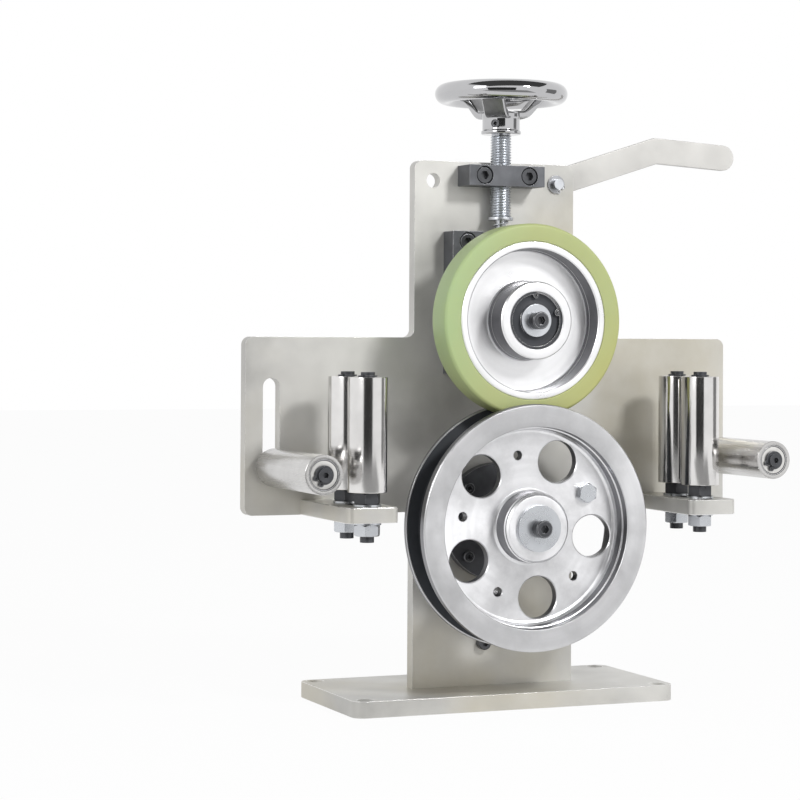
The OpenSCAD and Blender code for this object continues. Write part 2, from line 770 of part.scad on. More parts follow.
module metering_shaft() {
    collar_rear = front_bearing_z + wheel_bearing_w + seat_gap;
    shaft_front = meter_boss_front - 1;
    ring_z = rear_bearing_z - seat_gap - shaft_clip_t;
    color(bearing_steel) on_plate(0, meter_z) difference() {
        union() {
            translate([0, 0, shaft_rear]) cylinder(d = shaft_d, h = shaft_front - shaft_rear);
            translate([0, 0, collar_rear]) cylinder(d = shaft_collar_d, h = meter_rear - collar_rear);
            translate([0, 0, shaft_rear - stub_l]) cylinder(d = stub_d, h = stub_l + 1);
        }
        translate([0, 0, shaft_front - end_screw_l - tap_run_out])
            cylinder(d = screw_d + 2 * fixed_fit, h = end_screw_l + tap_run_out + 1);
        ring(shaft_d + 2, shaft_d - 1.4, ring_z - 0.05, ring_z + shaft_clip_t + 0.05);
        translate([-key_w / 2, key_bottom_r, meter_front - key_l - 4]) cube([key_w, key_h, key_l]);
    }
}

module shaft_ring() {
    color(black_steel) on_plate(0, meter_z)
        retaining_ring(shaft_d + 7, shaft_d - 1.3, rear_bearing_z - seat_gap - shaft_clip_t, shaft_clip_t,
                       90, 50, 5, shaft_d / 2 + 2.4);
}

module shaft_key() {
    color(zinc) on_plate(0, meter_z) translate([-key_w / 2 + fixed_fit, key_bottom_r + fixed_fit,
                                                meter_front - key_l - 4 + fixed_fit])
        cube([key_w - 2 * fixed_fit, key_h - 2 * fixed_fit, key_l - 2 * fixed_fit]);
}

// ---- Metering wheel ----

module metering_wheel() {
    edge = 0.8;
    flange_r = flange_d / 2;
    rim_r_in = rim_inner_d / 2;
    boss_r = meter_boss_d / 2;
    bore_r = shaft_d / 2 + fixed_fit;
    color(turned_aluminium) on_plate(0, meter_z) difference() {
        rotate_extrude() polygon([
            [bore_r, meter_rear], [boss_r, meter_rear], [boss_r, web_rear], [rim_r_in, web_rear],
            [rim_r_in, meter_rear], [flange_r - edge, meter_rear], [flange_r, meter_rear + edge],
            [flange_r, groove_rear], [groove_floor_r, groove_rear], [groove_floor_r, groove_front],
            [flange_r, groove_front], [flange_r, meter_front - edge], [flange_r - edge, meter_front],
            [rim_r_in, meter_front], [rim_r_in - 1, web_front + 3], [rim_r_in - 4, web_front],
            [boss_r, web_front], [boss_r, meter_boss_front - 2.5], [boss_r - 2.5, meter_boss_front],
            [bore_r, meter_boss_front]
        ]);
        for (i = [0 : window_count - 1]) {
            rotate(first_window_a + i * 360 / window_count) translate([web_hole_r, 0, web_rear - 1])
                cylinder(d = window_d, h = web_t + 2);
            small_d = i == 0 ? screw_d + 2 * fixed_fit : tapped_hole_d;
            rotate(trigger_a + i * 360 / window_count) translate([web_hole_r, 0, web_rear - 1])
                cylinder(d = small_d, h = web_t + 2);
        }
        translate([-key_w / 2, key_bottom_r, meter_rear - 1]) cube([key_w, key_h + 0.1, meter_w + 4]);
    }
}

module groove_lining() {
    color(black_steel) on_plate(0, meter_z)
        ring(groove_d, 2 * groove_floor_r + 2 * fixed_fit, groove_rear + fixed_fit, groove_front - fixed_fit);
}

module metering_end_washer() {
    color(zinc) on_plate(0, meter_z) ring(meter_washer_d, screw_d + 2 * fixed_fit,
                                          meter_boss_front, meter_boss_front + meter_washer_t);
}

module metering_end_screw() {
    color(black_steel) on_plate(0, meter_z) translate([0, 0, meter_boss_front + meter_washer_t])
        cap_screw(screw_d, screw_head_d, screw_head_h, end_screw_l);
}

module trigger_bolt() {
    color(zinc) on_plate(0, meter_z) rotate(trigger_a) translate([web_hole_r, 0, 0]) {
        hex_body(trigger_af, trigger_head_h, web_front);
        translate([0, 0, trigger_tip]) cylinder(d = screw_d, h = web_front - trigger_tip + eps);
    }
}

module trigger_nut() {
    color(zinc) on_plate(0, meter_z) rotate(trigger_a) translate([web_hole_r, 0, 0])
        hex_nut(trigger_af, trigger_nut_h, screw_d + 2 * fixed_fit, web_rear - trigger_nut_h);
}

// ---- Sensor ----

module proximity_sensor() {
    color(bearing_steel) on_plate(-sensor_x, sensor_z) {
        translate([0, 0, sensor_front - sensor_l]) cylinder(d = sensor_d, h = sensor_l - 1);
        translate([0, 0, sensor_front - 1 - eps]) cylinder(d = sensor_d - 1.5, h = 1 + eps);
    }
}

module sensor_nuts() {
    color(zinc) on_plate(-sensor_x, sensor_z) for (z = [-plate_t, -plate_t - bracket_t - sensor_nut_h])
        hex_nut(sensor_nut_af, sensor_nut_h, sensor_d + 2 * fixed_fit, z);
}

module sensor_bracket() {
    h = bracket_top - bracket_bottom;
    color(plate_grey) on_plate(-sensor_x, 0) translate([0, 0, -plate_t - bracket_t]) difference() {
        linear_extrude(bracket_t) translate([0, bracket_bottom + h / 2]) rounded_rect(bracket_w, h, 3);
        translate([0, sensor_z, -1]) cylinder(d = sensor_d + 2 * fixed_fit, h = bracket_t + 2);
        translate([0, bracket_screw_z, -1]) cylinder(d = small_screw_d + 2 * fixed_fit, h = bracket_t + 2);
    }
}

module bracket_screw() {
    nut_depth = 5;
    color(black_steel) on_plate(-sensor_x, bracket_screw_z) {
        cap_screw(small_screw_d, small_head_d, small_head_h, plate_t + bracket_t + nut_depth + 2);
        hex_nut(small_head_d, nut_depth, small_screw_d + 2 * fixed_fit, -plate_t - bracket_t - nut_depth);
    }
}

// ---- Slide, lift plate and pressure wheel axle ----

module slide_block() {
    front_w = rail_gap - 2 * slip_gap;
    color(black_steel) difference() {
        union() {
            translate([-front_w / 2, plate_y - slide_front, slide_bottom])
                cube([front_w, slide_front - slip_gap, slide_h]);
            translate([-slide_wing_w / 2, plate_y - rail_step_depth + slip_gap, slide_bottom])
                cube([slide_wing_w, rail_step_depth - 2 * slip_gap, slide_h]);
            on_plate(0, tongue_bottom) translate([0, 0, -lift_plate_front])
                linear_extrude(lift_plate_front + 1) slot_outline(tongue_w, tongue_h);
        }
        on_plate(0, press_z) translate([0, 0, slide_front - axle_socket_depth])
            cylinder(d = shaft_d + 2 * fixed_fit, h = axle_socket_depth + 1);
        for (z = lift_screw_z) on_plate(0, z) translate([0, 0, -lift_plate_front - 1])
            cylinder(d = screw_d + 2 * fixed_fit, h = lift_plate_front + 10);
        translate([0, plate_y - spindle_y, spring_bottom])
            cylinder(d = spring_pocket_d, h = spring_pocket_depth + 1);
    }
}

module lift_plate() {
    h = lift_plate_top - lift_plate_bottom;
    color(plate_grey) on_plate() translate([0, 0, -lift_plate_rear]) difference() {
        linear_extrude(lift_plate_t) translate([0, lift_plate_bottom + h / 2])
            rounded_rect(lift_plate_w, h, 5);
        translate([0, lift_pin_z, -1]) cylinder(d = lift_pin_d + 2 * fixed_fit, h = lift_plate_t + 2);
        for (z = lift_screw_z) translate([0, z, -1])
            cylinder(d = screw_d + 2 * fixed_fit, h = lift_plate_t + 2);
    }
}

module lift_pin() {
    head_t = 2.5;
    color(zinc) on_plate(0, lift_pin_z) {
        translate([0, 0, -lift_plate_rear]) cylinder(d = lift_pin_d, h = lift_plate_rear - lever_front);
        translate([0, 0, -lift_plate_rear - head_t]) cylinder(d = lift_pin_d + 5, h = head_t + eps);
    }
}

module lift_screws() {
    reach = lift_plate_rear + slide_front - axle_socket_depth;
    color(black_steel) {
        on_plate(0, lift_screw_z[0]) translate([0, 0, -lift_plate_rear]) rotate([180, 0, 0])
            cap_screw(screw_d, screw_head_d, screw_head_h, reach + lift_screw_grip);
        on_plate(0, lift_screw_z[1]) translate([0, 0, -lift_plate_rear]) rotate([180, 0, 0])
            cap_screw(screw_d, screw_head_d, screw_head_h, lift_plate_rear + 5);
    }
}

module pressure_axle() {
    socket_floor = slide_front - axle_socket_depth + fixed_fit;
    shoulder_front = bearing_in_rear - seat_gap;
    color(bearing_steel) on_plate(0, press_z) difference() {
        union() {
            translate([0, 0, socket_floor]) cylinder(d = shaft_d, h = axle_end - socket_floor);
            translate([0, 0, slide_front]) cylinder(d = axle_shoulder_d, h = shoulder_front - slide_front);
        }
        translate([0, 0, socket_floor - 1])
            cylinder(d = screw_d + 2 * fixed_fit, h = lift_screw_grip + tap_run_out + 1);
        translate([0, 0, axle_end - end_screw_l - tap_run_out])
            cylinder(d = screw_d + 2 * fixed_fit, h = end_screw_l + tap_run_out + 1);
    }
}

module pressure_end_washer() {
    color(zinc) on_plate(0, press_z)
        ring(end_washer_d, screw_d + 2 * fixed_fit, end_washer_z, end_washer_z + end_washer_t);
}

module pressure_end_screw() {
    color(black_steel) on_plate(0, press_z) translate([0, 0, end_washer_z + end_washer_t])
        cap_screw(screw_d, screw_head_d, screw_head_h, end_screw_l);
}

// ---- Lever ----

// The lever lies in the plane of the plate; local X runs from the pivot along its first stretch. Its
// bend is mitred, and both ends are round.
module lever_outline() {
    r = lever_w / 2;
    tail_x = r - lever_tail_l;
    bend_x = lever_bend_x / cos(lever_slope);
    turn = handle_slope - lever_slope;
    mitre = r * tan(turn / 2);
    tip = [bend_x + handle_l * cos(turn), handle_l * sin(turn)];
    polygon([
        [bend_x - mitre, r],
        for (a = [90 : -10 : -90]) tip + r * [cos(a + turn), sin(a + turn)],
        [bend_x + mitre, -r],
        for (a = [270 : -10 : 90]) [tail_x + r * cos(a), r * sin(a)]
    ]);
}

module lever() {
    color(pale_steel) on_plate(lever_x, lever_z) translate([0, 0, -lever_rear]) rotate(lever_slope)
        difference() {
            linear_extrude(lever_t) difference() {
                lever_outline();
                translate([-lever_arm - lever_slot_w / 2 - 1.2, 0]) rotate(-90)
                    slot_outline(lever_slot_w, lever_slot_l);
            }
            translate([0, 0, -1]) cylinder(d = lever_pivot_d + 2 * lever_eye_gap, h = lever_t + 2);
        }
}

module lever_pivot_pin() {
    groove_z = seat_gap;
    body_d = lever_pivot_d - 2 * fixed_fit;
    head_z = -lever_rear - slip_gap;
    color(zinc) on_plate(lever_x, lever_z) difference() {
        union() {
            translate([0, 0, head_z]) cylinder(d = body_d, h = -head_z - seat_gap);
            translate([0, 0, head_z - pin_head_t]) cylinder(d = pin_head_d, h = pin_head_t);
            translate([0, 0, -1]) cylinder(d = pin_tip_d, h = pin_tip_l + 1);
        }
        ring(pin_tip_d + 2, pin_tip_d - 0.8, groove_z, groove_z + 1.2);
    }
}

module lever_pin_ring() {
    color(black_steel) on_plate(lever_x, lever_z)
        retaining_ring(pin_ring_d, pin_tip_d - 0.7, seat_gap + 0.05, pin_ring_t, -45, 50, 3.4,
                       pin_tip_d / 2 + 1.9);
}

// ---- Screw gear ----

module spring_seat() {
    color(zinc) translate([0, plate_y - spindle_y, spring_top])
        ring(seat_d, spigot_d + 2 * running_fit, 0, seat_t - seat_gap);
}

// The thread is drawn as rings one pitch apart.
module spindle() {
    thread_r = spindle_d / 2;
    rings = floor((thread_top - seat_z) / spindle_pitch);
    color(zinc) translate([0, plate_y - spindle_y, 0]) {
        translate([0, 0, seat_z - spigot_l]) cylinder(d = spigot_d, h = spigot_l + eps);
        rotate_extrude($fn = 64) polygon([
            [0, seat_z],
            for (i = [0 : rings - 1]) each [
                [thread_r - thread_depth, seat_z + i * spindle_pitch],
                [thread_r, seat_z + (i + 0.42) * spindle_pitch],
                [thread_r, seat_z + (i + 0.58) * spindle_pitch]
            ],
            [thread_r - thread_depth, seat_z + rings * spindle_pitch],
            [0, seat_z + rings * spindle_pitch]
        ]);
        translate([0, 0, seat_z + rings * spindle_pitch - eps])
            cylinder(d = spindle_top_d, h = handwheel_hub_top - seat_z - rings * spindle_pitch);
    }
}

// A spoke's side outline: out from the hub, up a steep slope and into the rim.
module spoke_outline() {
    rim_inside = rim_r - rim_t / 2;
    inside_hub = handwheel_hub_d / 2 - 5;
    climb_r = rim_inside - 2.5;
    climb_z = rim_z - spoke_t / 2;
    slope = atan2(climb_z - spoke_root_z, climb_r - spoke_root_r);
    lift = spoke_t * [-sin(slope), cos(slope)];
    polygon([
        [inside_hub, spoke_root_z], [spoke_root_r, spoke_root_z], [climb_r, climb_z], [rim_r, climb_z],
        [rim_r, climb_z + spoke_t], [climb_r + lift.x + spoke_t / 4, climb_z + spoke_t],
        [climb_r, climb_z] + lift, [spoke_root_r, spoke_root_z] + lift,
        [inside_hub, spoke_root_z + lift.y]
    ]);
}

module handwheel() {
    color(bright_chrome) translate([0, plate_y - spindle_y, 0]) difference() {
        union() {
            translate([0, 0, rim_z]) rotate_extrude() translate([rim_r, 0]) circle(d = rim_t, $fn = 40);
            translate([0, 0, handwheel_hub_z]) cylinder(d = handwheel_hub_d, h = handwheel_hub_h);
            for (i = [0 : 2]) rotate(spoke_turn + 120 * i) translate([0, spoke_w / 2, 0])
                rotate([90, 0, 0]) linear_extrude(spoke_w) spoke_outline();
        }
        translate([0, 0, handwheel_hub_z - 1])
            cylinder(d = spindle_top_d + 2 * fixed_fit, h = handwheel_hub_h + 20);
        rotate(grub_turn) translate([0, 0, grub_z]) rotate([0, 90, 0])
            cylinder(d = grub_d + 2 * fixed_fit, h = handwheel_hub_d / 2 + 1);
    }
}

module grub_screw() {
    color(black_steel) translate([0, plate_y - spindle_y, grub_z]) rotate(grub_turn) rotate([0, 90, 0])
        difference() {
            translate([0, 0, spindle_top_d / 2 + seat_gap])
                cylinder(d = grub_d, h = handwheel_hub_d / 2 - spindle_top_d / 2 - 2);
            translate([0, 0, handwheel_hub_d / 2 - 5]) cylinder(d = grub_d / 2 / cos(30), h = 6, $fn = 6);
        }
}

// One unbroken wire: rings of points square to a helix, joined by triangles.
spring_rings = 8 * spring_turns;
spring_sides = 6;
spring_r = (spring_d - spring_wire_d) / 2;
spring_rise = spring_top - spring_bottom - spring_wire_d - 2 * seat_gap;
function spring_centre(i) = let (a = 45 * i) [
    spring_r * cos(a), spring_r * sin(a),
    spring_bottom + seat_gap + spring_wire_d / 2 + spring_rise * i / spring_rings
];
function spring_point(i, k) = let (a = 45 * i, b = 360 * k / spring_sides, c = spring_centre(i))
    c + spring_wire_d / 2 * [cos(b) * cos(a), cos(b) * sin(a), sin(b)];
spring_gap = min([for (i = [0 : spring_rings - 6], j = [i + 6 : spring_rings])
    norm(spring_centre(i) - spring_centre(j))]) - spring_wire_d;
echo(str("least gap of the spring to itself, mm: ", spring_gap));

module pressure_spring() {
    n = spring_sides;
    last = spring_rings * n;
    color(zinc) translate([0, plate_y - spindle_y, 0]) polyhedron(
        points = [for (i = [0 : spring_rings], k = [0 : n - 1]) spring_point(i, k)],
        faces = [
            for (i = [0 : spring_rings - 1], k = [0 : n - 1]) let (a = i * n + k, b = i * n + (k + 1) % n)
                each [[a, a + n, b], [b, a + n, b + n]],
            for (k = [1 : n - 2]) each [[0, k, k + 1], [last, last + k + 1, last + k]]
        ],
        convexity = 10
    );
}

// ---- Pressure wheel ----

module pressure_hub() {
    edge = 0.6;
    seat_r = wheel_bearing_d / 2 + fixed_fit;
    inner_r = bearing_shoulder_d / 2;
    boss_r = hub_boss_d / 2;
    groove_r = wheel_bearing_d / 2 + ring_groove;
    front_in = bearing_out_front - wheel_bearing_w;
    rear_in = bearing_in_rear + wheel_bearing_w;
    clip_top = bearing_out_front + ring_clip_t + 0.05;
    color(turned_aluminium) on_plate(0, press_z) rotate_extrude() polygon([
        [inner_r, rear_in], [seat_r, rear_in], [seat_r, hub_boss_rear], [boss_r, hub_boss_rear],
        [boss_r, tyre_rear], [hub_d / 2, tyre_rear], [hub_d / 2, tyre_front - edge],
        [hub_d / 2 - edge, tyre_front], [dish_d / 2, tyre_front], [dish_d / 2 - 0.5, dish_z + 2],
        [dish_d / 2 - 2.5, dish_z], [boss_r + 1.5, dish_z], [boss_r, dish_z + 1.5],
        [boss_r, hub_boss_front - 1], [boss_r - 1, hub_boss_front], [seat_r, hub_boss_front],
        [seat_r, clip_top], [groove_r, clip_top],
        [groove_r, bearing_out_front], [seat_r, bearing_out_front], [seat_r, front_in], [inner_r, front_in]
    ]);
}

// The tread's edges are rounded off.
module pressure_tyre() {
    inner_r = hub_d / 2 + fixed_fit;
    r = 1.5;
    corner = [for (a = [0 : 30 : 90]) a];
    color(tyre_green) on_plate(0, press_z) rotate_extrude($fn = 128) polygon([
        [inner_r, tyre_rear],
        for (a = corner) [tyre_d / 2 - r + r * sin(a), tyre_rear + r - r * cos(a)],
        for (a = corner) [tyre_d / 2 - r + r * cos(a), tyre_front - r + r * sin(a)],
        [inner_r, tyre_front]
    ]);
}

module pressure_bearings() {
    color(bearing_steel) on_plate(0, press_z) {
        ball_bearing(shaft_d + 2 * running_fit, wheel_bearing_d, wheel_bearing_w,
                     bearing_out_front - wheel_bearing_w);
        ball_bearing(shaft_d + 2 * running_fit, wheel_bearing_d, wheel_bearing_w, bearing_in_rear);
    }
}

module hub_ring() {
    color(black_steel) on_plate(0, press_z)
        retaining_ring(wheel_bearing_d + 2 * ring_groove - 0.1, wheel_bearing_d - 4, bearing_out_front,
                       ring_clip_t, 54, 72, 4.4, wheel_bearing_d / 2 - 2.6);
}

// ---- Guide rollers ----

// Tube and its two bearings, standing on local Z = 0.
module roller(length) {
    color(bright_chrome) ring(roller_d, roller_d - 2 * roller_wall, 0, length);
    bore = roller_d - 2 * roller_wall - 2 * fixed_fit;
    color(bearing_steel) for (z = [0.3, length - roller_bearing_w - 0.3])
        ball_bearing(roller_axle_d + 2 * running_fit, min(roller_bearing_d, bore), roller_bearing_w, z);
}

// The axle's free end past the roller: its ring groove, its ring and a socket for a key.
module axle_tip(length) {
    ring_z = length + seat_gap;
    difference() {
        translate([0, 0, -1]) cylinder(d = roller_axle_d, h = length + axle_tip_l + 1);
        ring(roller_axle_d + 2, roller_axle_d - 0.8, ring_z, ring_z + roller_ring_t + 0.1);
        translate([0, 0, length + axle_tip_l - 3]) cylinder(d = 4 / cos(30), h = 4, $fn = 6);
    }
    retaining_ring(roller_ring_d, roller_axle_d - 0.7, ring_z + 0.05, roller_ring_t, 225, 50,
                   roller_ring_eye_d, (roller_axle_d + roller_ring_eye_d) / 2);
}

module upright_roller(side, forward) {
    translate([side * bar_x, plate_y - forward, upright_roller_z]) roller(upright_roller_l);
}

module upright_axle(side, forward) {
    stud_bottom = lower_nut_z - stud_tip_l;
    translate([side * bar_x, plate_y - forward, 0]) {
        color(black_steel) {
            translate([0, 0, upright_roller_z]) axle_tip(upright_roller_l);
            translate([0, 0, stud_bottom]) cylinder(d = roller_axle_d, h = upright_roller_z - stud_bottom);
            hex_nut(nut_af, nut_h, roller_axle_d + 2 * fixed_fit, upright_nut_z);
        }
        color(zinc) {
            ring(washer_d, roller_axle_d + 2 * fixed_fit, bar_top + seat_gap, bar_top + washer_t);
            ring(washer_d, roller_axle_d + 2 * fixed_fit, wing_bottom - washer_t, wing_bottom - seat_gap);
            hex_nut(nut_af, nut_h, roller_axle_d + 2 * fixed_fit, lower_nut_z);
        }
    }
}

module level_roller(side, height) {
    on_plate(side * wing_slot_x, height) translate([0, 0, level_roller_rear]) roller(level_roller_l);
}

module level_axle(side, height) {
    stud_rear = -level_nut_rear - stud_tip_l;
    bore_d = roller_axle_d + 2 * fixed_fit;
    on_plate(side * wing_slot_x, height) {
        color(black_steel) {
            translate([0, 0, level_roller_rear]) axle_tip(level_roller_l);
            translate([0, 0, stud_rear]) cylinder(d = roller_axle_d, h = level_roller_rear - stud_rear);
            hex_nut(nut_af, thin_nut_h, bore_d, washer_t + seat_gap);
        }
        color(zinc) {
            ring(washer_d, bore_d, seat_gap, washer_t);
            ring(washer_d, bore_d, -plate_t - washer_t, -plate_t - seat_gap);
            hex_nut(nut_af, nut_h, bore_d, -level_nut_rear);
        }
    }
}

module roller_left_front() { upright_roller(-1, left_front_y); }
module axle_left_front() { upright_axle(-1, left_front_y); }
module roller_left_rear() { upright_roller(-1, left_rear_y); }
module axle_left_rear() { upright_axle(-1, left_rear_y); }
module roller_right_front() { upright_roller(1, right_front_y); }
module axle_right_front() { upright_axle(1, right_front_y); }
module roller_right_rear() { upright_roller(1, right_rear_y); }
module axle_right_rear() { upright_axle(1, right_rear_y); }
module roller_left_level() { level_roller(-1, left_level_z); }
module axle_left_level() { level_axle(-1, left_level_z); }
module roller_right_level() { level_roller(1, right_level_z); }
module axle_right_level() { level_axle(1, right_level_z); }

base_plate();
back_plate();
base_screws();
guide_bar_left();
guide_bar_right();
bar_screws();
screw_block();
block_screws();
slide_rail_left();
slide_rail_right();
rail_screws();
bearing_housing();
housing_screws();
housing_bearings();
proximity_sensor();
sensor_nuts();
sensor_bracket();
bracket_screw();
lever_pivot_pin();
lever_pin_ring();
slide_block();
lift_plate();
lift_pin();
lift_screws();
pressure_axle();
pressure_end_washer();
pressure_end_screw();
pressure_spring();
lever();
spring_seat();
spindle();
handwheel();
grub_screw();
pressure_hub();
pressure_tyre();
pressure_bearings();
hub_ring();
metering_wheel();
groove_lining();
metering_shaft();
shaft_key();
shaft_ring();
metering_end_washer();
metering_end_screw();
trigger_bolt();
trigger_nut();
roller_left_front();
axle_left_front();
roller_left_rear();
axle_left_rear();
roller_right_front();
axle_right_front();
roller_right_rear();
axle_right_rear();
roller_left_level();
axle_left_level();
roller_right_level();
axle_right_level();
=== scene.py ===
"""Finishes and details of a cable length counter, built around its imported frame.

Every length is in metres in the frame's own axes: +X along the upright plate, +Y away from the
wheels, +Z up. MM turns a size in millimetres into metres.
"""

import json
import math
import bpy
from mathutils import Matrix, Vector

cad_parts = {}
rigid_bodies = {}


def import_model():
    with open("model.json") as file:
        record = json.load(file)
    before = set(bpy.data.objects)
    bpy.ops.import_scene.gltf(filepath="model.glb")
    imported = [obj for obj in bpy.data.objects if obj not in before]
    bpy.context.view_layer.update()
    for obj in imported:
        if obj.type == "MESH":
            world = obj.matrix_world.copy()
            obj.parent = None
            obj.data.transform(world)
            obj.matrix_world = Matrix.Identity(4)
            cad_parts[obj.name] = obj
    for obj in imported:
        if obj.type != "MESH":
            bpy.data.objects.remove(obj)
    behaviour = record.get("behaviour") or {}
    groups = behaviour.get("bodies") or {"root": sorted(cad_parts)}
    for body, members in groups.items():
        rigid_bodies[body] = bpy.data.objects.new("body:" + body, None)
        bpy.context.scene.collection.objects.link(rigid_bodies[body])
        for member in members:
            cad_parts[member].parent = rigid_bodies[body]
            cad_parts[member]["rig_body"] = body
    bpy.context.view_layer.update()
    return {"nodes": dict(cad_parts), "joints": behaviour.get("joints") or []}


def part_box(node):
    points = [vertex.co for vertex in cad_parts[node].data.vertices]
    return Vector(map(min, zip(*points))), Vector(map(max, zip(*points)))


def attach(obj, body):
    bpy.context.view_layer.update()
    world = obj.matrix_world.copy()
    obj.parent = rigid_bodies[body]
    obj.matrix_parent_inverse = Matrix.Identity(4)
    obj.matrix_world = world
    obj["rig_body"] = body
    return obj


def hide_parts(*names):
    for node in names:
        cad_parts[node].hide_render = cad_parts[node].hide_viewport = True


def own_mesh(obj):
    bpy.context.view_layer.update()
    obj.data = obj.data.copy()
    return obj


bl_info = {
    "name": "Cable length counter",
    "version": (1, 0, 0),
    "blender": (4, 5, 0),
    "location": "3D View > Sidebar > Counter",
    "description": "Finishes and details of a cable length counter around its packed frame",
    "category": "Object",
}

import bmesh
import bpy
import numpy as np
from mathutils import Matrix

MM = 0.001
TURN = 2 * math.pi

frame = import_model()
NODES = frame["nodes"]
JOINTS = {joint["name"]: joint for joint in frame["joints"]}


def corners(node):
    """Lowest and highest corner of a node of the frame as arrays."""
    low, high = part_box(node)
    return np.array(low), np.array(high)


def middle(node):
    """Middle of a node's box."""
    low, high = corners(node)
    return (low + high) / 2


def half_width(node, axis=0):
    """Half of a node's reach along an axis, which is a round piece's radius."""
    low, high = corners(node)
    return (high[axis] - low[axis]) / 2


def depths(node):
    """How far a node's rear and front stand out from the upright plate's front face."""
    low, high = corners(node)
    return PLATE_FRONT - high[1], PLATE_FRONT - low[1]


METER_AXIS = np.array(JOINTS["metering_spin"]["pos_m"])
PRESS_AXIS = np.array(JOINTS["pressure_spin"]["pos_m"])
SPINDLE_AXIS = np.array(JOINTS["screw_turn"]["pos_m"])
SPINDLE_FOOT = np.array([SPINDLE_AXIS[0], SPINDLE_AXIS[1], 0.0])
PLATE_FRONT = float(corners("back_plate")[0][1])
TOWARDS_VIEWER = np.array([0.0, -1.0, 0.0])
UPWARDS = np.array([0.0, 0.0, 1.0])
ROLLERS = ("left_front", "left_rear", "right_front", "right_rear", "left_level", "right_level")

# The bore of what sits on a wheel's shaft, and the radius and width of its ball bearings.
SHAFT_BORE = 10.05 * MM
BEARING_RADIUS = 21.0 * MM
BEARING_WIDTH = 12.0 * MM


# ---- Properties ----


def length_property(name, description, default, low, high):
    """A length that a user can change; its numbers are in millimetres."""
    return bpy.props.FloatProperty(
        name=name, description=description, default=default * MM, min=low * MM, max=high * MM,
        unit="LENGTH", precision=5,
    )


class CounterSizes(bpy.types.PropertyGroup):
    """Sizes that a user would change."""

    edge_round: length_property("Edge round", "Round on the edges of the plates and blocks", 0.6, 0.1, 1.5)
    fastener_round: length_property(
        "Fastener round", "Round on the edges of screws, nuts and washers", 0.22, 0.05, 0.5
    )
    spindle_pitch: length_property("Spindle pitch", "Rise of the spindle in one turn", 2.0, 1.0, 3.0)
    spring_turns: bpy.props.IntProperty(
        name="Spring turns", description="Turns of the pressure spring", default=9, min=5, max=12,
    )
    rim_section: length_property("Handwheel rim", "Thickness of the handwheel's rim", 14.8, 10, 18)
    spoke_width: length_property("Spoke width", "Width of the handwheel's spokes", 18, 8, 20)


def colour_property(name, description, default):
    """A colour that a user can pick, in linear light."""
    return bpy.props.FloatVectorProperty(
        name=name, description=description, subtype="COLOR", size=3, min=0, max=1, default=default
    )


class CounterColours(bpy.types.PropertyGroup):
    """Colours of the finishes."""

    plate: colour_property("Plate", "Satin nickel on the plates and bars", (0.60, 0.592, 0.562))
    plate_warm: colour_property("Plate, warm patches", "Beige bloom in the nickel", (0.58, 0.545, 0.45))
    # Plate edges: the colour of the rounded edges, partly wear and partly a painted highlight.
    plate_edge: colour_property("Plate edges", "Bright ground edges of the plates", (0.84, 0.835, 0.82))
    lever: colour_property("Lever", "Pale plated lever", (0.60, 0.59, 0.565))
    aluminium: colour_property("Aluminium", "Bright turned aluminium", (0.88, 0.88, 0.895))
    hub_face: colour_property("Hub", "Paler turned hub of the pressure wheel", (0.96, 0.96, 0.97))
    # Painted shade: the dark colour of the dish and boss walls stands in for the shade in these recesses.
    wall_shade: colour_property("Turned walls", "Walls of the dishes and bosses", (0.29, 0.29, 0.305))
    tyre: colour_property("Tyre", "Cast tyre, seen on its face", (0.43, 0.475, 0.215))
    tyre_green: colour_property("Tyre, green side", "Greener part of the tyre", (0.40, 0.53, 0.27))
    groove: colour_property("Groove", "Dark running layer", (0.034, 0.038, 0.045))
    black: colour_property("Black steel", "Black oxide", (0.120, 0.124, 0.135))
    # Black edges: the colour of the rounded edges, partly wear and partly a painted highlight.
    black_edge: colour_property("Black edges", "Worn edges of the black parts", (0.34, 0.345, 0.36))
    zinc: colour_property("Zinc", "Blue zinc plate", (0.62, 0.64, 0.67))
    chrome: colour_property("Chrome", "Polished chrome", (0.52, 0.52, 0.53))
    steel: colour_property("Steel", "Ground bearing steel", (0.62, 0.62, 0.63))
    shield: colour_property("Shield", "Metal shields of the roller bearings", (0.74, 0.73, 0.71))
    roller: colour_property("Roller", "Polished roller tube", (0.74, 0.73, 0.72))
    seal: colour_property("Seal", "Rubber seal of a bearing", (0.030, 0.033, 0.040))
    sensor_face: colour_property("Sensor face", "Coloured face of the sensor", (0.60, 0.20, 0.03))


# ---- Material nodes ----


def add_node(tree, kind, **settings):
    """A new node of a tree with its settings; a key of inputs fills its sockets."""
    node = tree.nodes.new(kind)
    inputs = settings.pop("inputs", {})
    for key, value in settings.items():
        setattr(node, key, value)
    for key, value in inputs.items():
        if isinstance(value, bpy.types.NodeSocket):
            tree.links.new(value, node.inputs[key])
        else:
            node.inputs[key].default_value = value
    return node


def start_material(name, colour, metallic, roughness, **sockets):
    """A material whose shader has its plain values set on its own sockets."""
    material = bpy.data.materials.new(name)
    material.use_nodes = True
    tree = material.node_tree
    shader = tree.nodes["Principled BSDF"]
    shader.inputs["Base Color"].default_value = (*colour, 1)
    shader.inputs["Metallic"].default_value = metallic
    shader.inputs["Roughness"].default_value = roughness
    for key, value in sockets.items():
        shader.inputs[key.replace("_", " ")].default_value = value
    return material, tree, shader


def object_place(tree, centre=(0, 0, 0), stretch=(1, 1, 1)):
    """Object coordinates counted from a centre and stretched along each axis."""
    place = add_node(tree, "ShaderNodeTexCoord").outputs["Object"]
    moved = add_node(
        tree, "ShaderNodeVectorMath", operation="SUBTRACT", inputs={0: place, 1: tuple(centre)}
    ).outputs[0]
    return add_node(
        tree, "ShaderNodeVectorMath", operation="MULTIPLY", inputs={0: moved, 1: tuple(stretch)}
    ).outputs[0]


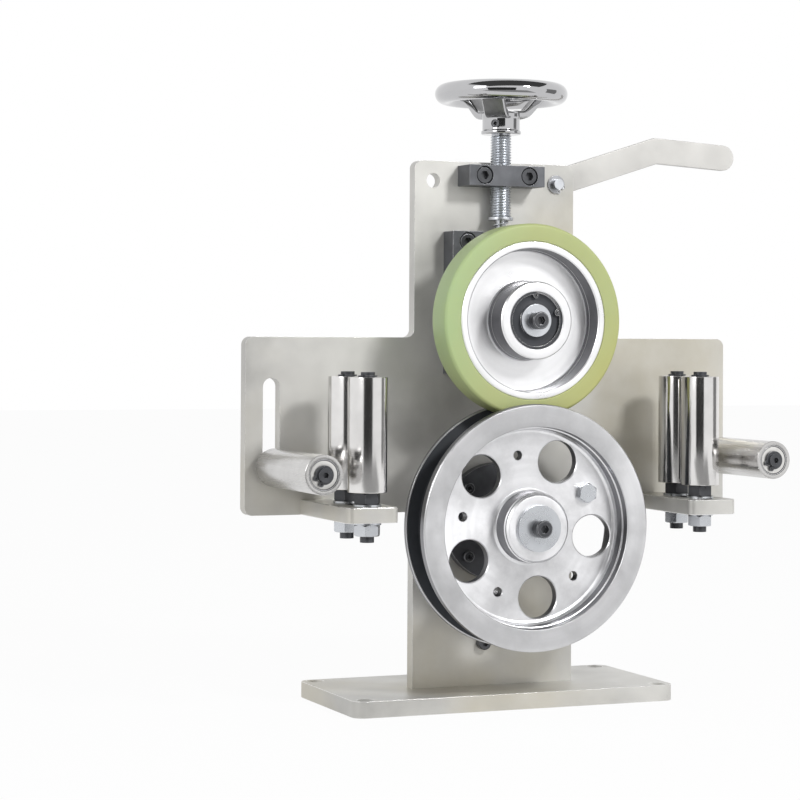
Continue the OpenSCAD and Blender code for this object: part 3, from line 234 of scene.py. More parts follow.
def clouds(tree, place, scale, detail=3.0, rough=0.55):
    """Soft noise from 0 to 1."""
    return add_node(
        tree, "ShaderNodeTexNoise",
        inputs={"Vector": place, "Scale": scale, "Detail": detail, "Roughness": rough},
    ).outputs["Fac"]


def spread(tree, value, low, high, to_low=0.0, to_high=1.0):
    """A value's range from low to high, stretched over another range and held there."""
    return add_node(
        tree, "ShaderNodeMapRange",
        inputs={0: value, 1: low, 2: high, 3: to_low, 4: to_high},
    ).outputs[0]


def blend_colours(tree, factor, first, second):
    """Two colours mixed by a factor; each is a colour or a socket."""
    node = add_node(tree, "ShaderNodeMix", data_type="RGBA")
    tree.links.new(factor, node.inputs[0])
    for socket, colour in ((node.inputs[6], first), (node.inputs[7], second)):
        if isinstance(colour, bpy.types.NodeSocket):
            tree.links.new(colour, socket)
        else:
            socket.default_value = (*colour, 1)
    return node.outputs[2]


def relief(tree, shader, height, strength, distance):
    """Bump from a height, joined to the shader's normal."""
    bump = add_node(
        tree, "ShaderNodeBump", inputs={"Height": height, "Strength": strength, "Distance": distance}
    )
    tree.links.new(bump.outputs[0], shader.inputs["Normal"])


def paint(tree, shader, colour, roughness):
    """A pattern's colour and roughness, joined to the shader."""
    tree.links.new(colour, shader.inputs["Base Color"])
    tree.links.new(roughness, shader.inputs["Roughness"])


def worked_out(tree, operation, *values):
    """The result of one calculation; each value is a number or a socket."""
    node = add_node(tree, "ShaderNodeMath", operation=operation, inputs=dict(enumerate(values)))
    return node.outputs[0]


def ring_noise(tree, radius, scale, detail, rough):
    """Noise from 0 to 1 that follows the radius alone, so that it makes rings."""
    return add_node(
        tree, "ShaderNodeTexNoise", noise_dimensions="1D",
        inputs={"W": radius, "Scale": scale, "Detail": detail, "Roughness": rough},
    ).outputs["Fac"]


def scaled(colour, factor):
    """A colour made lighter or darker."""
    return tuple(min(1.0, channel * factor) for channel in colour)


# ---- Finishes ----


def satin_plate(name, colour, warm):
    """Nickel-plated plate: broad soft patches, beige bloom and a fine ground grain."""
    material, tree, shader = start_material(name, colour, metallic=0.38, roughness=0.4)
    place = object_place(tree)
    broad = clouds(tree, place, 12.0, rough=0.5)
    fine = clouds(tree, place, 38.0, detail=5.0, rough=0.6)
    bloom = clouds(tree, object_place(tree, centre=(0.31, 0.2, 0.11)), 8.0, rough=0.5)
    grain = clouds(tree, object_place(tree, stretch=(1, 1, 0.16)), 900.0, detail=2.0, rough=0.5)
    dull, pale, scuffed = scaled(colour, 0.76), scaled(colour, 1.14), scaled(colour, 1.22)
    tone = blend_colours(tree, spread(tree, broad, 0.36, 0.64), dull, pale)
    tone = blend_colours(tree, spread(tree, bloom, 0.46, 0.62, to_high=0.75), tone, warm)
    tone = blend_colours(tree, spread(tree, fine, 0.42, 0.72, to_high=0.3), tone, scuffed)
    paint(tree, shader, tone, spread(tree, fine, 0.3, 0.7, 0.33, 0.47))
    relief(tree, shader, grain, strength=0.08, distance=0.05 * MM)
    return material


def turned_metal(name, colour, centre, roughness, drawn_out=0.0, darker_past=None, cloud=0.2):
    """Metal turned in a lathe: fine rings round an axis and faint cloudy patches.

    A face turned flat has its highlights drawn out across the rings, and is darker past a radius.
    """
    material, tree, shader = start_material(name, colour, metallic=0.86, roughness=roughness)
    if drawn_out:
        shader.inputs["Anisotropic"].default_value = drawn_out
        around = add_node(tree, "ShaderNodeTangent", direction_type="RADIAL", axis="Y")
        tree.links.new(around.outputs[0], shader.inputs["Tangent"])
    off_axis = object_place(tree, centre=centre, stretch=(1, 0, 1))
    radius = add_node(
        tree, "ShaderNodeVectorMath", operation="LENGTH", inputs={0: off_axis}
    ).outputs["Value"]
    fine_rings = ring_noise(tree, radius, 1500.0, detail=3.0, rough=0.7)
    broad_rings = ring_noise(tree, radius, 160.0, detail=1.0, rough=0.5)
    patches = clouds(tree, object_place(tree), 26.0, detail=5.0, rough=0.62)
    dull, pale, ringed = scaled(colour, 1 - cloud), scaled(colour, 1 + cloud / 2), scaled(colour, 0.84)
    tone = blend_colours(tree, spread(tree, patches, 0.36, 0.60), dull, pale)
    tone = blend_colours(tree, spread(tree, broad_rings, 0.35, 0.7, to_high=0.40), tone, ringed)
    if darker_past:
        # Past this radius the colour is mixed halfway towards a much darker one.
        blur = 0.2 * MM
        rim = spread(tree, radius, darker_past - blur, darker_past + blur, to_high=0.5)
        tone = blend_colours(tree, rim, tone, scaled(colour, 0.40))
    paint(tree, shader, tone, spread(tree, patches, 0.35, 0.7, roughness - 0.06, roughness + 0.08))
    relief(tree, shader, fine_rings, strength=0.16, distance=0.03 * MM)
    return material


def speckled(name, colour, metallic, roughness, scale, depth, bump):
    """A finish with a slight even mottle in tone and gloss."""
    material, tree, shader = start_material(name, colour, metallic, roughness)
    mottle = clouds(tree, object_place(tree), scale, detail=4.0, rough=0.6)
    tone = blend_colours(
        tree, spread(tree, mottle, 0.32, 0.68), scaled(colour, 1 - depth), scaled(colour, 1 + depth)
    )
    glossiest, dullest = max(0.02, roughness * 0.8), roughness * 1.2
    paint(tree, shader, tone, spread(tree, mottle, 0.3, 0.7, glossiest, dullest))
    grain = clouds(tree, object_place(tree), scale * 9, detail=2.0, rough=0.5)
    relief(tree, shader, grain, bump, distance=0.05 * MM)
    return material


def drawn_tube(name, colour, roughness, stretch):
    """Polished tube with faint marks that run along it."""
    material, tree, shader = start_material(name, colour, metallic=1.0, roughness=roughness)
    marks = clouds(tree, object_place(tree, stretch=stretch), 260.0)
    haze = clouds(tree, object_place(tree), 40.0, rough=0.5)
    tone = blend_colours(tree, spread(tree, haze, 0.35, 0.65), scaled(colour, 0.93), scaled(colour, 1.07))
    paint(tree, shader, tone, spread(tree, marks, 0.3, 0.7, roughness * 0.75, roughness * 1.35))
    relief(tree, shader, marks, strength=0.03, distance=0.02 * MM)
    return material


def cast_tyre(name, face, green):
    """Cast tyre: greener towards the left, yellower towards the lower right, slightly cloudy."""
    material, tree, shader = start_material(
        name, face, metallic=0.0, roughness=0.42,
        Subsurface_Weight=0.18, Subsurface_Scale=0.010, Specular_IOR_Level=0.35,
    )
    shader.inputs["Subsurface Radius"].default_value = (0.9, 1.0, 0.4)
    place = object_place(tree, centre=PRESS_AXIS)
    x, _, z = add_node(tree, "ShaderNodeSeparateXYZ", inputs={0: place}).outputs
    rightward_down = worked_out(tree, "SUBTRACT", x, z)
    leftward = worked_out(tree, "MULTIPLY_ADD", z, -0.3, x)
    cloud = clouds(tree, place, 30.0, rough=0.5)
    yellow = (face[0] * 1.22, face[1] * 0.96, face[2] * 0.62)
    tone = blend_colours(tree, spread(tree, leftward, -0.075, -0.02), green, face)
    tone = blend_colours(tree, spread(tree, rightward_down, 0.05, 0.11, to_high=0.45), tone, yellow)
    tone = blend_colours(tree, spread(tree, cloud, 0.35, 0.7, to_high=0.22), tone, scaled(face, 1.12))
    paint(tree, shader, tone, spread(tree, cloud, 0.3, 0.7, 0.36, 0.48))
    grain = clouds(tree, place, 700.0, detail=2.0, rough=0.5)
    relief(tree, shader, grain, strength=0.03, distance=0.05 * MM)
    return material


# Mottled finishes: the colour and how light it is taken, the share of metal, the roughness, and the
# mottle's scale, depth and bump.
MOTTLED = {
    # Edge colour of the plates and rings: wear with a painted highlight.
    "bright_edge": ("plate_edge", 1.0, 0.9, 0.28, 60.0, 0.08, 0.02),
    "groove_layer": ("groove", 1.0, 0.0, 0.62, 90.0, 0.15, 0.08),
    "black_oxide": ("black", 1.0, 0.45, 0.38, 70.0, 0.2, 0.05),
    "black_screw": ("black", 0.6, 0.45, 0.34, 120.0, 0.2, 0.03),
    # Edge colour of the black parts, also the grey body of the pin ring: wear with a painted highlight.
    "worn_black": ("black_edge", 1.0, 0.8, 0.3, 90.0, 0.2, 0.03),
    "zinc": ("zinc", 1.0, 0.95, 0.28, 60.0, 0.06, 0.015),
    "chrome": ("chrome", 1.0, 1.0, 0.06, 50.0, 0.03, 0.004),
    "cast_chrome": ("chrome", 0.5, 0.85, 0.38, 130.0, 0.14, 0.10),
    "ground_steel": ("steel", 1.0, 1.0, 0.24, 90.0, 0.06, 0.02),
    "shield_steel": ("shield", 1.0, 0.9, 0.32, 90.0, 0.08, 0.02),
    "seal_rubber": ("seal", 1.0, 0.0, 0.5, 200.0, 0.15, 0.05),
    "sensor_nickel": ("steel", 1.1, 0.95, 0.22, 150.0, 0.06, 0.03),
    "sensor_face": ("sensor_face", 1.0, 0.0, 0.45, 150.0, 0.08, 0.03),
}


def finish(key):
    """The material of a finish, made when it is first asked for."""
    material = bpy.data.materials.get(key)
    if material is not None:
        return material
    colours = bpy.context.scene.counter_colours
    if key in MOTTLED:
        colour, lightness, *rest = MOTTLED[key]
        return speckled(key, scaled(getattr(colours, colour), lightness), *rest)
    makers = {
        "satin_nickel": lambda: satin_plate(key, colours.plate, colours.plate_warm),
        "pale_nickel": lambda: satin_plate(key, colours.lever, scaled(colours.lever, 0.97)),
        "wheel_aluminium": lambda: turned_metal(
            key, colours.aluminium, METER_AXIS, 0.34, drawn_out=0.5, darker_past=73.3 * MM
        ),
        # Painted shade: the walls of the metering wheel's dish and boss take the dark wall colour.
        "wheel_wall": lambda: turned_metal(key, colours.wall_shade, METER_AXIS, 0.42),
        "hub_aluminium": lambda: turned_metal(key, colours.hub_face, PRESS_AXIS, 0.33, cloud=0.06),
        # Painted shade on the walls of the pressure hub's dish and boss.
        "hub_wall": lambda: turned_metal(key, scaled(colours.wall_shade, 0.95), PRESS_AXIS, 0.42),
        "cast_tyre": lambda: cast_tyre(key, colours.tyre, colours.tyre_green),
        "upright_tube": lambda: drawn_tube(key, colours.roller, 0.13, stretch=(1, 1, 0.03)),
        # Painted shade: the level tubes take the roller colour darkened.
        "level_tube": lambda: drawn_tube(key, scaled(colours.roller, 0.80), 0.25, stretch=(1, 0.03, 1)),
    }
    return makers[key]()


# ---- Mesh makers ----


def unit(vector):
    """A direction, or rows of them, made one long."""
    vector = np.asarray(vector, float)
    return vector / np.linalg.norm(vector, axis=-1, keepdims=True)


def placed(name, data):
    """A new object of the scene that holds some data."""
    item = bpy.data.objects.new(name, data)
    bpy.context.scene.collection.objects.link(item)
    return item


def grid_faces(rows, columns, rows_close=False):
    """Quads of a grid whose columns close on themselves, and its rows too where asked."""
    row = np.arange(rows if rows_close else rows - 1)[:, None]
    column = np.arange(columns)
    after = (column + 1) % columns
    below = (row + 1) % rows
    here, there = row * columns, below * columns
    quads = [here + column, here + after, there + after, there + column]
    return np.stack(np.broadcast_arrays(*quads), -1).reshape(-1, 4)


def standing(local, origin, axis):
    """Local points, whose third coordinate runs along an axis, placed in the frame."""
    axis = unit(axis)
    side = unit(np.cross(UPWARDS, axis)) if abs(axis[2]) < 0.9 else np.array([1.0, 0.0, 0.0])
    across = np.cross(axis, side)
    return origin + local[..., :1] * side + local[..., 1:2] * across + local[..., 2:3] * axis


def closed_mesh(name, shape, origin, axis):
    """A mesh from a shape's points and faces, stood on an axis: doubles merged, normals outwards."""
    points, faces = shape
    mesh = bpy.data.meshes.new(name)
    mesh.from_pydata(standing(points, origin, axis).reshape(-1, 3).tolist(), [], faces.tolist())
    tidy = bmesh.new()
    tidy.from_mesh(mesh)
    bmesh.ops.remove_doubles(tidy, verts=tidy.verts, dist=0.001 * MM)
    bmesh.ops.recalc_face_normals(tidy, faces=tidy.faces)
    tidy.to_mesh(mesh)
    tidy.free()
    return mesh


def shade(mesh, sharp_past=32.0):
    """Smooth shading, with edges left sharp past an angle in degrees."""
    mesh.shade_smooth()
    mesh.set_sharp_from_angle(angle=math.radians(sharp_past))


def new_piece(name, shape, origin, axis, key, body, sharp_past=32.0):
    """A piece from a shape's points and faces, stood on an axis, which rides on a body."""
    mesh = closed_mesh(name, shape, origin, axis)
    shade(mesh, sharp_past)
    mesh.materials.append(finish(key))
    piece = placed(name, mesh)
    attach(piece, body)
    return piece


def capped(rows):
    """Rows of points with a pole past each end, at the middle of the first and the last row."""
    poles = [np.repeat(row.mean(1, keepdims=True), rows.shape[1], 1) for row in (rows[:1], rows[-1:])]
    points = np.concatenate([poles[0], rows, poles[1]])
    return points, grid_faces(len(points), rows.shape[1])


def joined(*shapes):
    """Several shapes of points and faces as one array of each."""
    points = [grid.reshape(-1, 3) for grid, _ in shapes]
    counts = np.cumsum([0] + [len(part) for part in points[:-1]])
    faces = [quads + count for (_, quads), count in zip(shapes, counts)]
    return np.concatenate(points), np.concatenate(faces)


def eased(profile, radius, steps=3):
    """A closed outline with each corner turned into a short curve that leaves both its sides smoothly.

    The curve is a quadratic one: it starts and ends the radius away from the corner, or nearly half of
    a shorter side, and the corner pulls its middle.
    """
    most = 0.45
    profile = np.asarray(profile, float)
    before = np.roll(profile, 1, 0) - profile
    after = np.roll(profile, -1, 0) - profile
    reach_before = np.linalg.norm(before, axis=1, keepdims=True)
    reach_after = np.linalg.norm(after, axis=1, keepdims=True)
    cut = np.minimum(radius, most * np.minimum(reach_before, reach_after))
    start = profile + before / reach_before * cut
    end = profile + after / reach_after * cut
    t = np.linspace(0, 1, steps + 1)[:, None, None]
    curve = (1 - t) ** 2 * start + 2 * t * (1 - t) * profile + t**2 * end
    return curve.transpose(1, 0, 2).reshape(-1, 2)


def round_points(radius, angle, height):
    """Points from their radius, angle and height about the third axis."""
    return np.stack(np.broadcast_arrays(radius * np.cos(angle), radius * np.sin(angle), height), -1)


def turned_points(profile, around):
    """An outline of radius and height carried round the third axis, as rows of points."""
    radius, height = np.asarray(profile, float).T[..., None]
    return round_points(radius, TURN * np.arange(around) / around, height)


def square_ring(near, far, low, high):
    """The outline of a square-cornered ring between two radii and two heights."""
    return [(near, low), (far, low), (far, high), (near, high)]


def ring_shape(profile, round_off, around=72, steps=3):
    """A closed ring turned from its outline of radius and height: its points and its faces."""
    outline = eased(profile, round_off, steps) if round_off else profile
    return turned_points(outline, around), grid_faces(len(outline), around, rows_close=True)


def solid_shape(outline, around):
    """A solid turned from an outline that starts and ends on the axis: its points and its faces."""
    return turned_points(outline, around), grid_faces(len(outline), around)


def beside(radius, height, *steps):
    """Points of an outline, each a step in millimetres outwards and upwards from one corner."""
    return [(radius + outwards * MM, height + upwards * MM) for outwards, upwards in steps]


def threaded_surface(crest, pitch, depth, length, lead_in, around, per_turn=10, foot=0.0):
    """A cylinder whose radius falls from the crest in a rounded V that climbs one pitch each turn.

    The radius at a height z and angle a is the crest less the depth times how far z / pitch - a / turn
    lies from a whole number, and both ends are tapered over the lead-in.
    """
    steepness, flat = 1.25, 0.12
    rows = max(4, int(round(length / pitch * per_turn)))
    height = np.linspace(0, length, rows + 1)[:, None]
    angle = TURN * np.arange(around)[None, :] / around
    phase = (height / pitch - angle / TURN) % 1
    valley = np.clip(np.abs(2 * phase - 1) * steepness - flat, 0, 1)
    near_end = np.minimum(height, length - height)
    taper = crest - np.clip(lead_in - near_end, 0, None)
    radius = np.minimum(crest - depth * valley, taper)
    points = round_points(radius, angle, height + foot)
    points = np.concatenate([points[:1] * UPWARDS, points, points[-1:] * UPWARDS])
    return points, grid_faces(len(points), around)


def softened(node, edge, material, wear_and_highlight=None):
    """A node of the frame as a clean mesh: doubles merged, flat triangles joined and edges rounded.

    The rounded edges take the edge finish where one is given, which is wear with a painted highlight, and
    flat faces are shaded flat.
    """
    merge, flat, sharp = 0.002 * MM, math.radians(0.6), math.radians(30)
    source = NODES[node]
    mesh = source.data.copy()
    mesh.name = node + "_mesh"
    tidy = bmesh.new()
    tidy.from_mesh(mesh)
    bmesh.ops.remove_doubles(tidy, verts=tidy.verts, dist=merge)
    bmesh.ops.dissolve_limit(tidy, angle_limit=flat, verts=tidy.verts, edges=tidy.edges)
    tidy.to_mesh(mesh)
    tidy.free()
    mesh.shade_smooth()
    mesh.materials.clear()
    mesh.materials.append(material)
    piece = placed(node + "_finish", mesh)
    bevel = piece.modifiers.new("edges", "BEVEL")
    bevel.width = edge
    bevel.segments = 2
    bevel.limit_method = "ANGLE"
    bevel.angle_limit = sharp
    bevel.use_clamp_overlap = True
    # The faces of the rounded edges take the edge colour: wear with a painted highlight.
    if wear_and_highlight is not None:
        mesh.materials.append(wear_and_highlight)
        bevel.material = 1
    level_faces = piece.modifiers.new("level_faces", "WEIGHTED_NORMAL")
    level_faces.mode = "FACE_AREA"
    level_faces.weight = 90
    level_faces.thresh = 0.01
    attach(piece, source["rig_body"])
    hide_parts(node)
    return piece


# Each look: a softened node's finish, the finish of its rounded edges (wear with a painted highlight) and
# the record's slot.
PLATE = ("satin_nickel", "bright_edge", "satin_plate")
PALE_LEVER = ("pale_nickel", None, "pale_steel")
BLACK_BLOCK = ("black_oxide", "worn_black", "black_steel")
BLACK_SCREW = ("black_screw", "worn_black", "black_steel")
DARK_RING = ("black_screw", None, "black_steel")
EDGED_RING = ("black_screw", "bright_edge", "black_steel")
# The pin ring's body is grey in the black edge colour; its rounded edges take the bright edge colour, wear
# with a painted highlight.
GREY_RING = ("worn_black", "bright_edge", "black_steel")
GROUND_STEEL = ("ground_steel", None, "bearing_steel")
ZINC = ("zinc", None, "zinc_plate")


def soften_nodes(look, edge, *nodes):
    """Nodes softened alike, each with the finishes of one look."""
    main, wear_and_highlight, slot = look
    for node in nodes:
        softened(node, edge, finish(main), wear_and_highlight and finish(wear_and_highlight))


def face_vectors(mesh, key):
    """The normal or the centre of every face, as rows."""
    values = np.zeros(len(mesh.polygons) * 3)
    mesh.polygons.foreach_get(key, values)
    return values.reshape(-1, 3)


def refinish(mesh, key, chosen):
    """A further finish on the chosen faces; the others take the mesh's first one."""
    mesh.materials.append(finish(key))
    index = (len(mesh.materials) - 1) * chosen
    mesh.polygons.foreach_set("material_index", index.astype(np.int32).tolist())


def paint_wall_shade(wheel, key):
    """Painted shade: a darker second material on a wheel's faces that look away from its axis or towards
    it.
    """
    lean = 0.4
    facing = np.abs(face_vectors(wheel.data, "normal") @ TOWARDS_VIEWER)
    refinish(wheel.data, key, facing < lean)


# ---- Stage ----


def place_matrix(right, up, back, place):
    """The matrix of a camera or a lamp from its three directions and its place."""
    matrix = np.identity(4)
    matrix[:3] = np.stack([right, up, back, place], 1)
    return Matrix(matrix.tolist())


def set_camera():
    """The camera at the photograph's place: bearing, tilt and roll in degrees, lens in its own pixels."""
    frame_px = 800
    lens_px = 2409.2
    axis_px = 300.0
    place = np.array([-0.76587, -1.66717, 0.27333])
    bearing, tilt, roll = np.radians([22.582, 0.894, 0.323])
    forward = np.array(
        [math.sin(bearing) * math.cos(tilt), math.cos(bearing) * math.cos(tilt), math.sin(tilt)]
    )
    level = np.array([math.cos(bearing), -math.sin(bearing), 0.0])
    above = np.cross(level, forward)
    right = level * math.cos(roll) + above * math.sin(roll)
    top = above * math.cos(roll) - level * math.sin(roll)
    data = bpy.data.cameras.new("camera")
    data.sensor_width = 36.0
    data.lens = data.sensor_width * lens_px / frame_px
    data.shift_y = (axis_px - frame_px / 2) / frame_px
    data.clip_end = 50
    camera = placed("camera", data)
    camera.matrix_world = place_matrix(right, top, -forward, place)
    bpy.context.scene.camera = camera


def sees_backdrop(tree):
    """1 for the rays that show the backdrop as it is: from the camera, mirrored or let through."""
    path = add_node(tree, "ShaderNodeLightPath")
    direct = path.outputs["Is Camera Ray"]
    for key in ("Is Glossy Ray", "Is Transmission Ray"):
        direct = worked_out(tree, "MAXIMUM", direct, path.outputs[key])
    return direct


def empty_tree(owner):
    """The node tree of a new material or world, with nothing in it."""
    owner.use_nodes = True
    owner.node_tree.nodes.clear()
    return owner.node_tree


def white_glow(tree, strength):
    """White light of one strength."""
    glow = add_node(tree, "ShaderNodeEmission", inputs={"Color": (1, 1, 1, 1), "Strength": strength})
    return glow.outputs[0]


def background_light():
    """White to the camera and in reflections; a plain dimmer room to everything else."""
    dim_room, white = (0.46, 0.46, 0.47), (1.0, 1.0, 1.0)
    world = bpy.data.worlds.new("room")
    bpy.context.scene.world = world
    tree = empty_tree(world)
    seen = blend_colours(tree, sees_backdrop(tree), dim_room, white)
    light = add_node(tree, "ShaderNodeBackground", inputs={"Color": seen, "Strength": 1.0})
    add_node(tree, "ShaderNodeOutputWorld", inputs={0: light.outputs[0]})


def floor_material():
    """Plain white floor that keeps the object's shadow when the camera sees it."""
    glow_share = 0.955
    material = bpy.data.materials.new("floor_white")
    tree = empty_tree(material)
    matt = add_node(tree, "ShaderNodeBsdfDiffuse", inputs={"Color": (0.86, 0.86, 0.86, 1)})
    share = worked_out(tree, "MULTIPLY", sees_backdrop(tree), glow_share)
    both = add_node(
        tree, "ShaderNodeMixShader", inputs={0: share, 1: matt.outputs[0], 2: white_glow(tree, 1.0)}
    )
    add_node(tree, "ShaderNodeOutputMaterial", inputs={0: both.outputs[0]})
    return material


def flat_card(name, centre, facing, size, material):
    """A rectangle of the stage that faces a point."""
    centre = np.asarray(centre, float)
    corner_signs = np.array([(-1, -1, 0), (1, -1, 0), (1, 1, 0), (-1, 1, 0)])
    local = corner_signs * (size[0] / 2, size[1] / 2, 0)
    mesh = bpy.data.meshes.new(name)
    mesh.from_pydata(standing(local, centre, facing - centre).tolist(), [], [(0, 1, 2, 3)])
    mesh.materials.append(material)
    card = placed(name, mesh)
    return card


def reflection_card(name, centre, facing, size, strength):
    """A card that shows only in glossy reflections, dark or bright."""
    material = bpy.data.materials.new(name)
    tree = empty_tree(material)
    add_node(tree, "ShaderNodeOutputMaterial", inputs={0: white_glow(tree, strength)})
    card = flat_card(name, centre, facing, size, material)
    for rays in ("camera", "diffuse", "shadow", "transmission"):
        setattr(card, "visible_" + rays, False)


def area_lamp(name, place, target, width, power):
    """A soft square lamp that faces a target."""
    data = bpy.data.lights.new(name, "AREA")
    data.shape = "SQUARE"
    data.size = width
    data.energy = power
    back = unit(np.asarray(place) - target)
    side = unit(np.cross(UPWARDS, back))
    placed(name, data).matrix_world = place_matrix(side, np.cross(back, side), back, place)


class COUNTER_OT_stage(bpy.types.Operator):
    """Camera, floor, lamps and the cards that shape the reflections"""

    bl_idname = "counter.stage"
    bl_label = "Stage"

    def execute(self, context):
        set_camera()
        background_light()
        below_feet = 0.2 * MM
        flat_card("floor", (0, 0, -below_feet), (0, 0, 1), (14, 14), floor_material())
        middle_of_object = np.array([0.0, -0.03, 0.24])
        area_lamp("key_lamp", (0.60, -1.5, 1.25), middle_of_object, 0.3, 18)
        area_lamp("fill_lamp", (-1.7, -0.9, 1.0), middle_of_object, 0.7, 9)
        reflection_card("front_dark", (-0.45, -1.05, 0.33), middle_of_object, (1.0, 0.6), 0.04)
        reflection_card("top_dark", (0.0, -0.5, 1.4), middle_of_object, (2.4, 1.5), 0.08)
        reflection_card("low_dark", (-0.2, -0.95, 0.01), (-0.2, -0.95, 1.0), (1.4, 0.8), 0.35)
        reflection_card("right_dark", (1.06, -0.38, 0.33), middle_of_object, (0.5, 0.6), 0.25)
        context.scene.view_settings.view_transform = "Standard"
        return {"FINISHED"}


# ---- Plates, bars and blocks ----


class COUNTER_OT_plates(bpy.types.Operator):
    """Base, upright plate, guide bars, lift plate, sensor bracket and lever"""

    bl_idname = "counter.plates"
    bl_label = "Plates and lever"

    def execute(self, context):
        edge = context.scene.counter_sizes.edge_round
        soften_nodes(
            PLATE, edge,
            "base_plate", "back_plate", "guide_bar_left", "guide_bar_right", "lift_plate", "sensor_bracket",
        )
        soften_nodes(PALE_LEVER, edge * 0.8, "lever")
        return {"FINISHED"}


class COUNTER_OT_blocks(bpy.types.Operator):
    """Black screw block, rails, slide block and bearing housing"""

    bl_idname = "counter.blocks"
    bl_label = "Black blocks"

    def execute(self, context):
        soften_nodes(
            BLACK_BLOCK, context.scene.counter_sizes.edge_round,
            "screw_block", "slide_rail_left", "slide_rail_right", "slide_block", "bearing_housing",
        )
        return {"FINISHED"}


# ---- Wheels ----


def bearing_pieces(name, origin, axis, bore, outer, starts, width, body, node=None, shielded=False):
    """Races and covers of the ball bearings that stand on one axis, from the heights of their lower faces.

    A sealed bearing has rubber between its races, a shielded one a bright plate over a dark gap. The
    edges of the races lie at shares of the space between the bore and the outside.
    """
    inner_share, outer_share = (0.23, 0.25) if shielded else (0.35, 0.19)
    inner_edge = bore + inner_share * (outer - bore) / 2
    outer_edge = outer - outer_share * (outer - bore) / 2
    sunk = 0.9 * MM if shielded else 0.045 * width
    dip = 0.35 * (outer_edge - inner_edge)
    fall = 0.0 if shielded else 0.7 * sunk
    skin, gap = 0.25 * MM, 0.35 * MM
    races, covers, shields = [], [], []
    for start in starts:
        low, high = start + sunk, start + width - sunk
        for near, far in ((bore, inner_edge), (outer_edge, outer)):
            races.append(ring_shape(square_ring(near, far, start, start + width), 0.3 * MM))
        cover = [
            (inner_edge, low), (inner_edge + dip, low + fall), (outer_edge - dip, low + fall),
            (outer_edge, low), (outer_edge, high), (outer_edge - dip, high - fall),
            (inner_edge + dip, high - fall), (inner_edge, high),
        ]
        covers.append(ring_shape(cover, 0.12 * MM, steps=1))
        if shielded:
            for foot, top in ((start + skin, low), (high, start + width - skin)):
                disc = square_ring(inner_edge + gap, outer_edge - gap, foot, top)
                shields.append(ring_shape(disc, 0.15 * MM))
    for label, shapes, key in (
        ("races", races, "ground_steel"),
        ("seals", covers, "seal_rubber"),
        ("shields", shields, "shield_steel"),
    ):
        if shapes:
            piece = new_piece(f"{name}_{label}", joined(*shapes), origin, axis, key, body)
            if node and shapes is races:
                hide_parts(node)


def wheel_bearings(name, origin, node, body):
    """A pair of sealed bearings that fills a node's length from both its ends."""
    rear, front = depths(node)
    starts = (rear, front - BEARING_WIDTH)
    bearing_pieces(
        name, origin, TOWARDS_VIEWER, SHAFT_BORE, BEARING_RADIUS, starts, BEARING_WIDTH, body, node
    )


def spool(name, centre, radius, low, high, flare, axis=TOWARDS_VIEWER, around=64):
    """A cutter with flared ends, which leaves a hole with a chamfer at both faces."""
    over = 1.0 * MM
    wide = radius + flare + over
    outline = [
        (0, low - over), (wide, low - over), (radius, low + flare),
        (radius, high - flare), (wide, high + over), (0, high + over),
    ]
    return placed(name, closed_mesh(name, solid_shape(outline, around), centre, axis))


def cut_away(piece, cutters):
    """The cutters taken out of a piece, and then removed."""
    for cutter in cutters:
        cut = piece.modifiers.new("cut", "BOOLEAN")
        cut.operation = "DIFFERENCE"
        cut.solver = "EXACT"
        cut.object = cutter
    bpy.context.view_layer.update()
    evaluated = piece.evaluated_get(bpy.context.evaluated_depsgraph_get())
    mesh = bpy.data.meshes.new_from_object(evaluated)
    piece.modifiers.clear()
    piece.data = mesh
    shade(mesh)
    for cutter in cutters:
        bpy.data.objects.remove(cutter)


def axle_point(axis_point):
    """The point of a wheel's axis at the front face of the upright plate."""
    return np.array([axis_point[0], PLATE_FRONT, axis_point[2]])


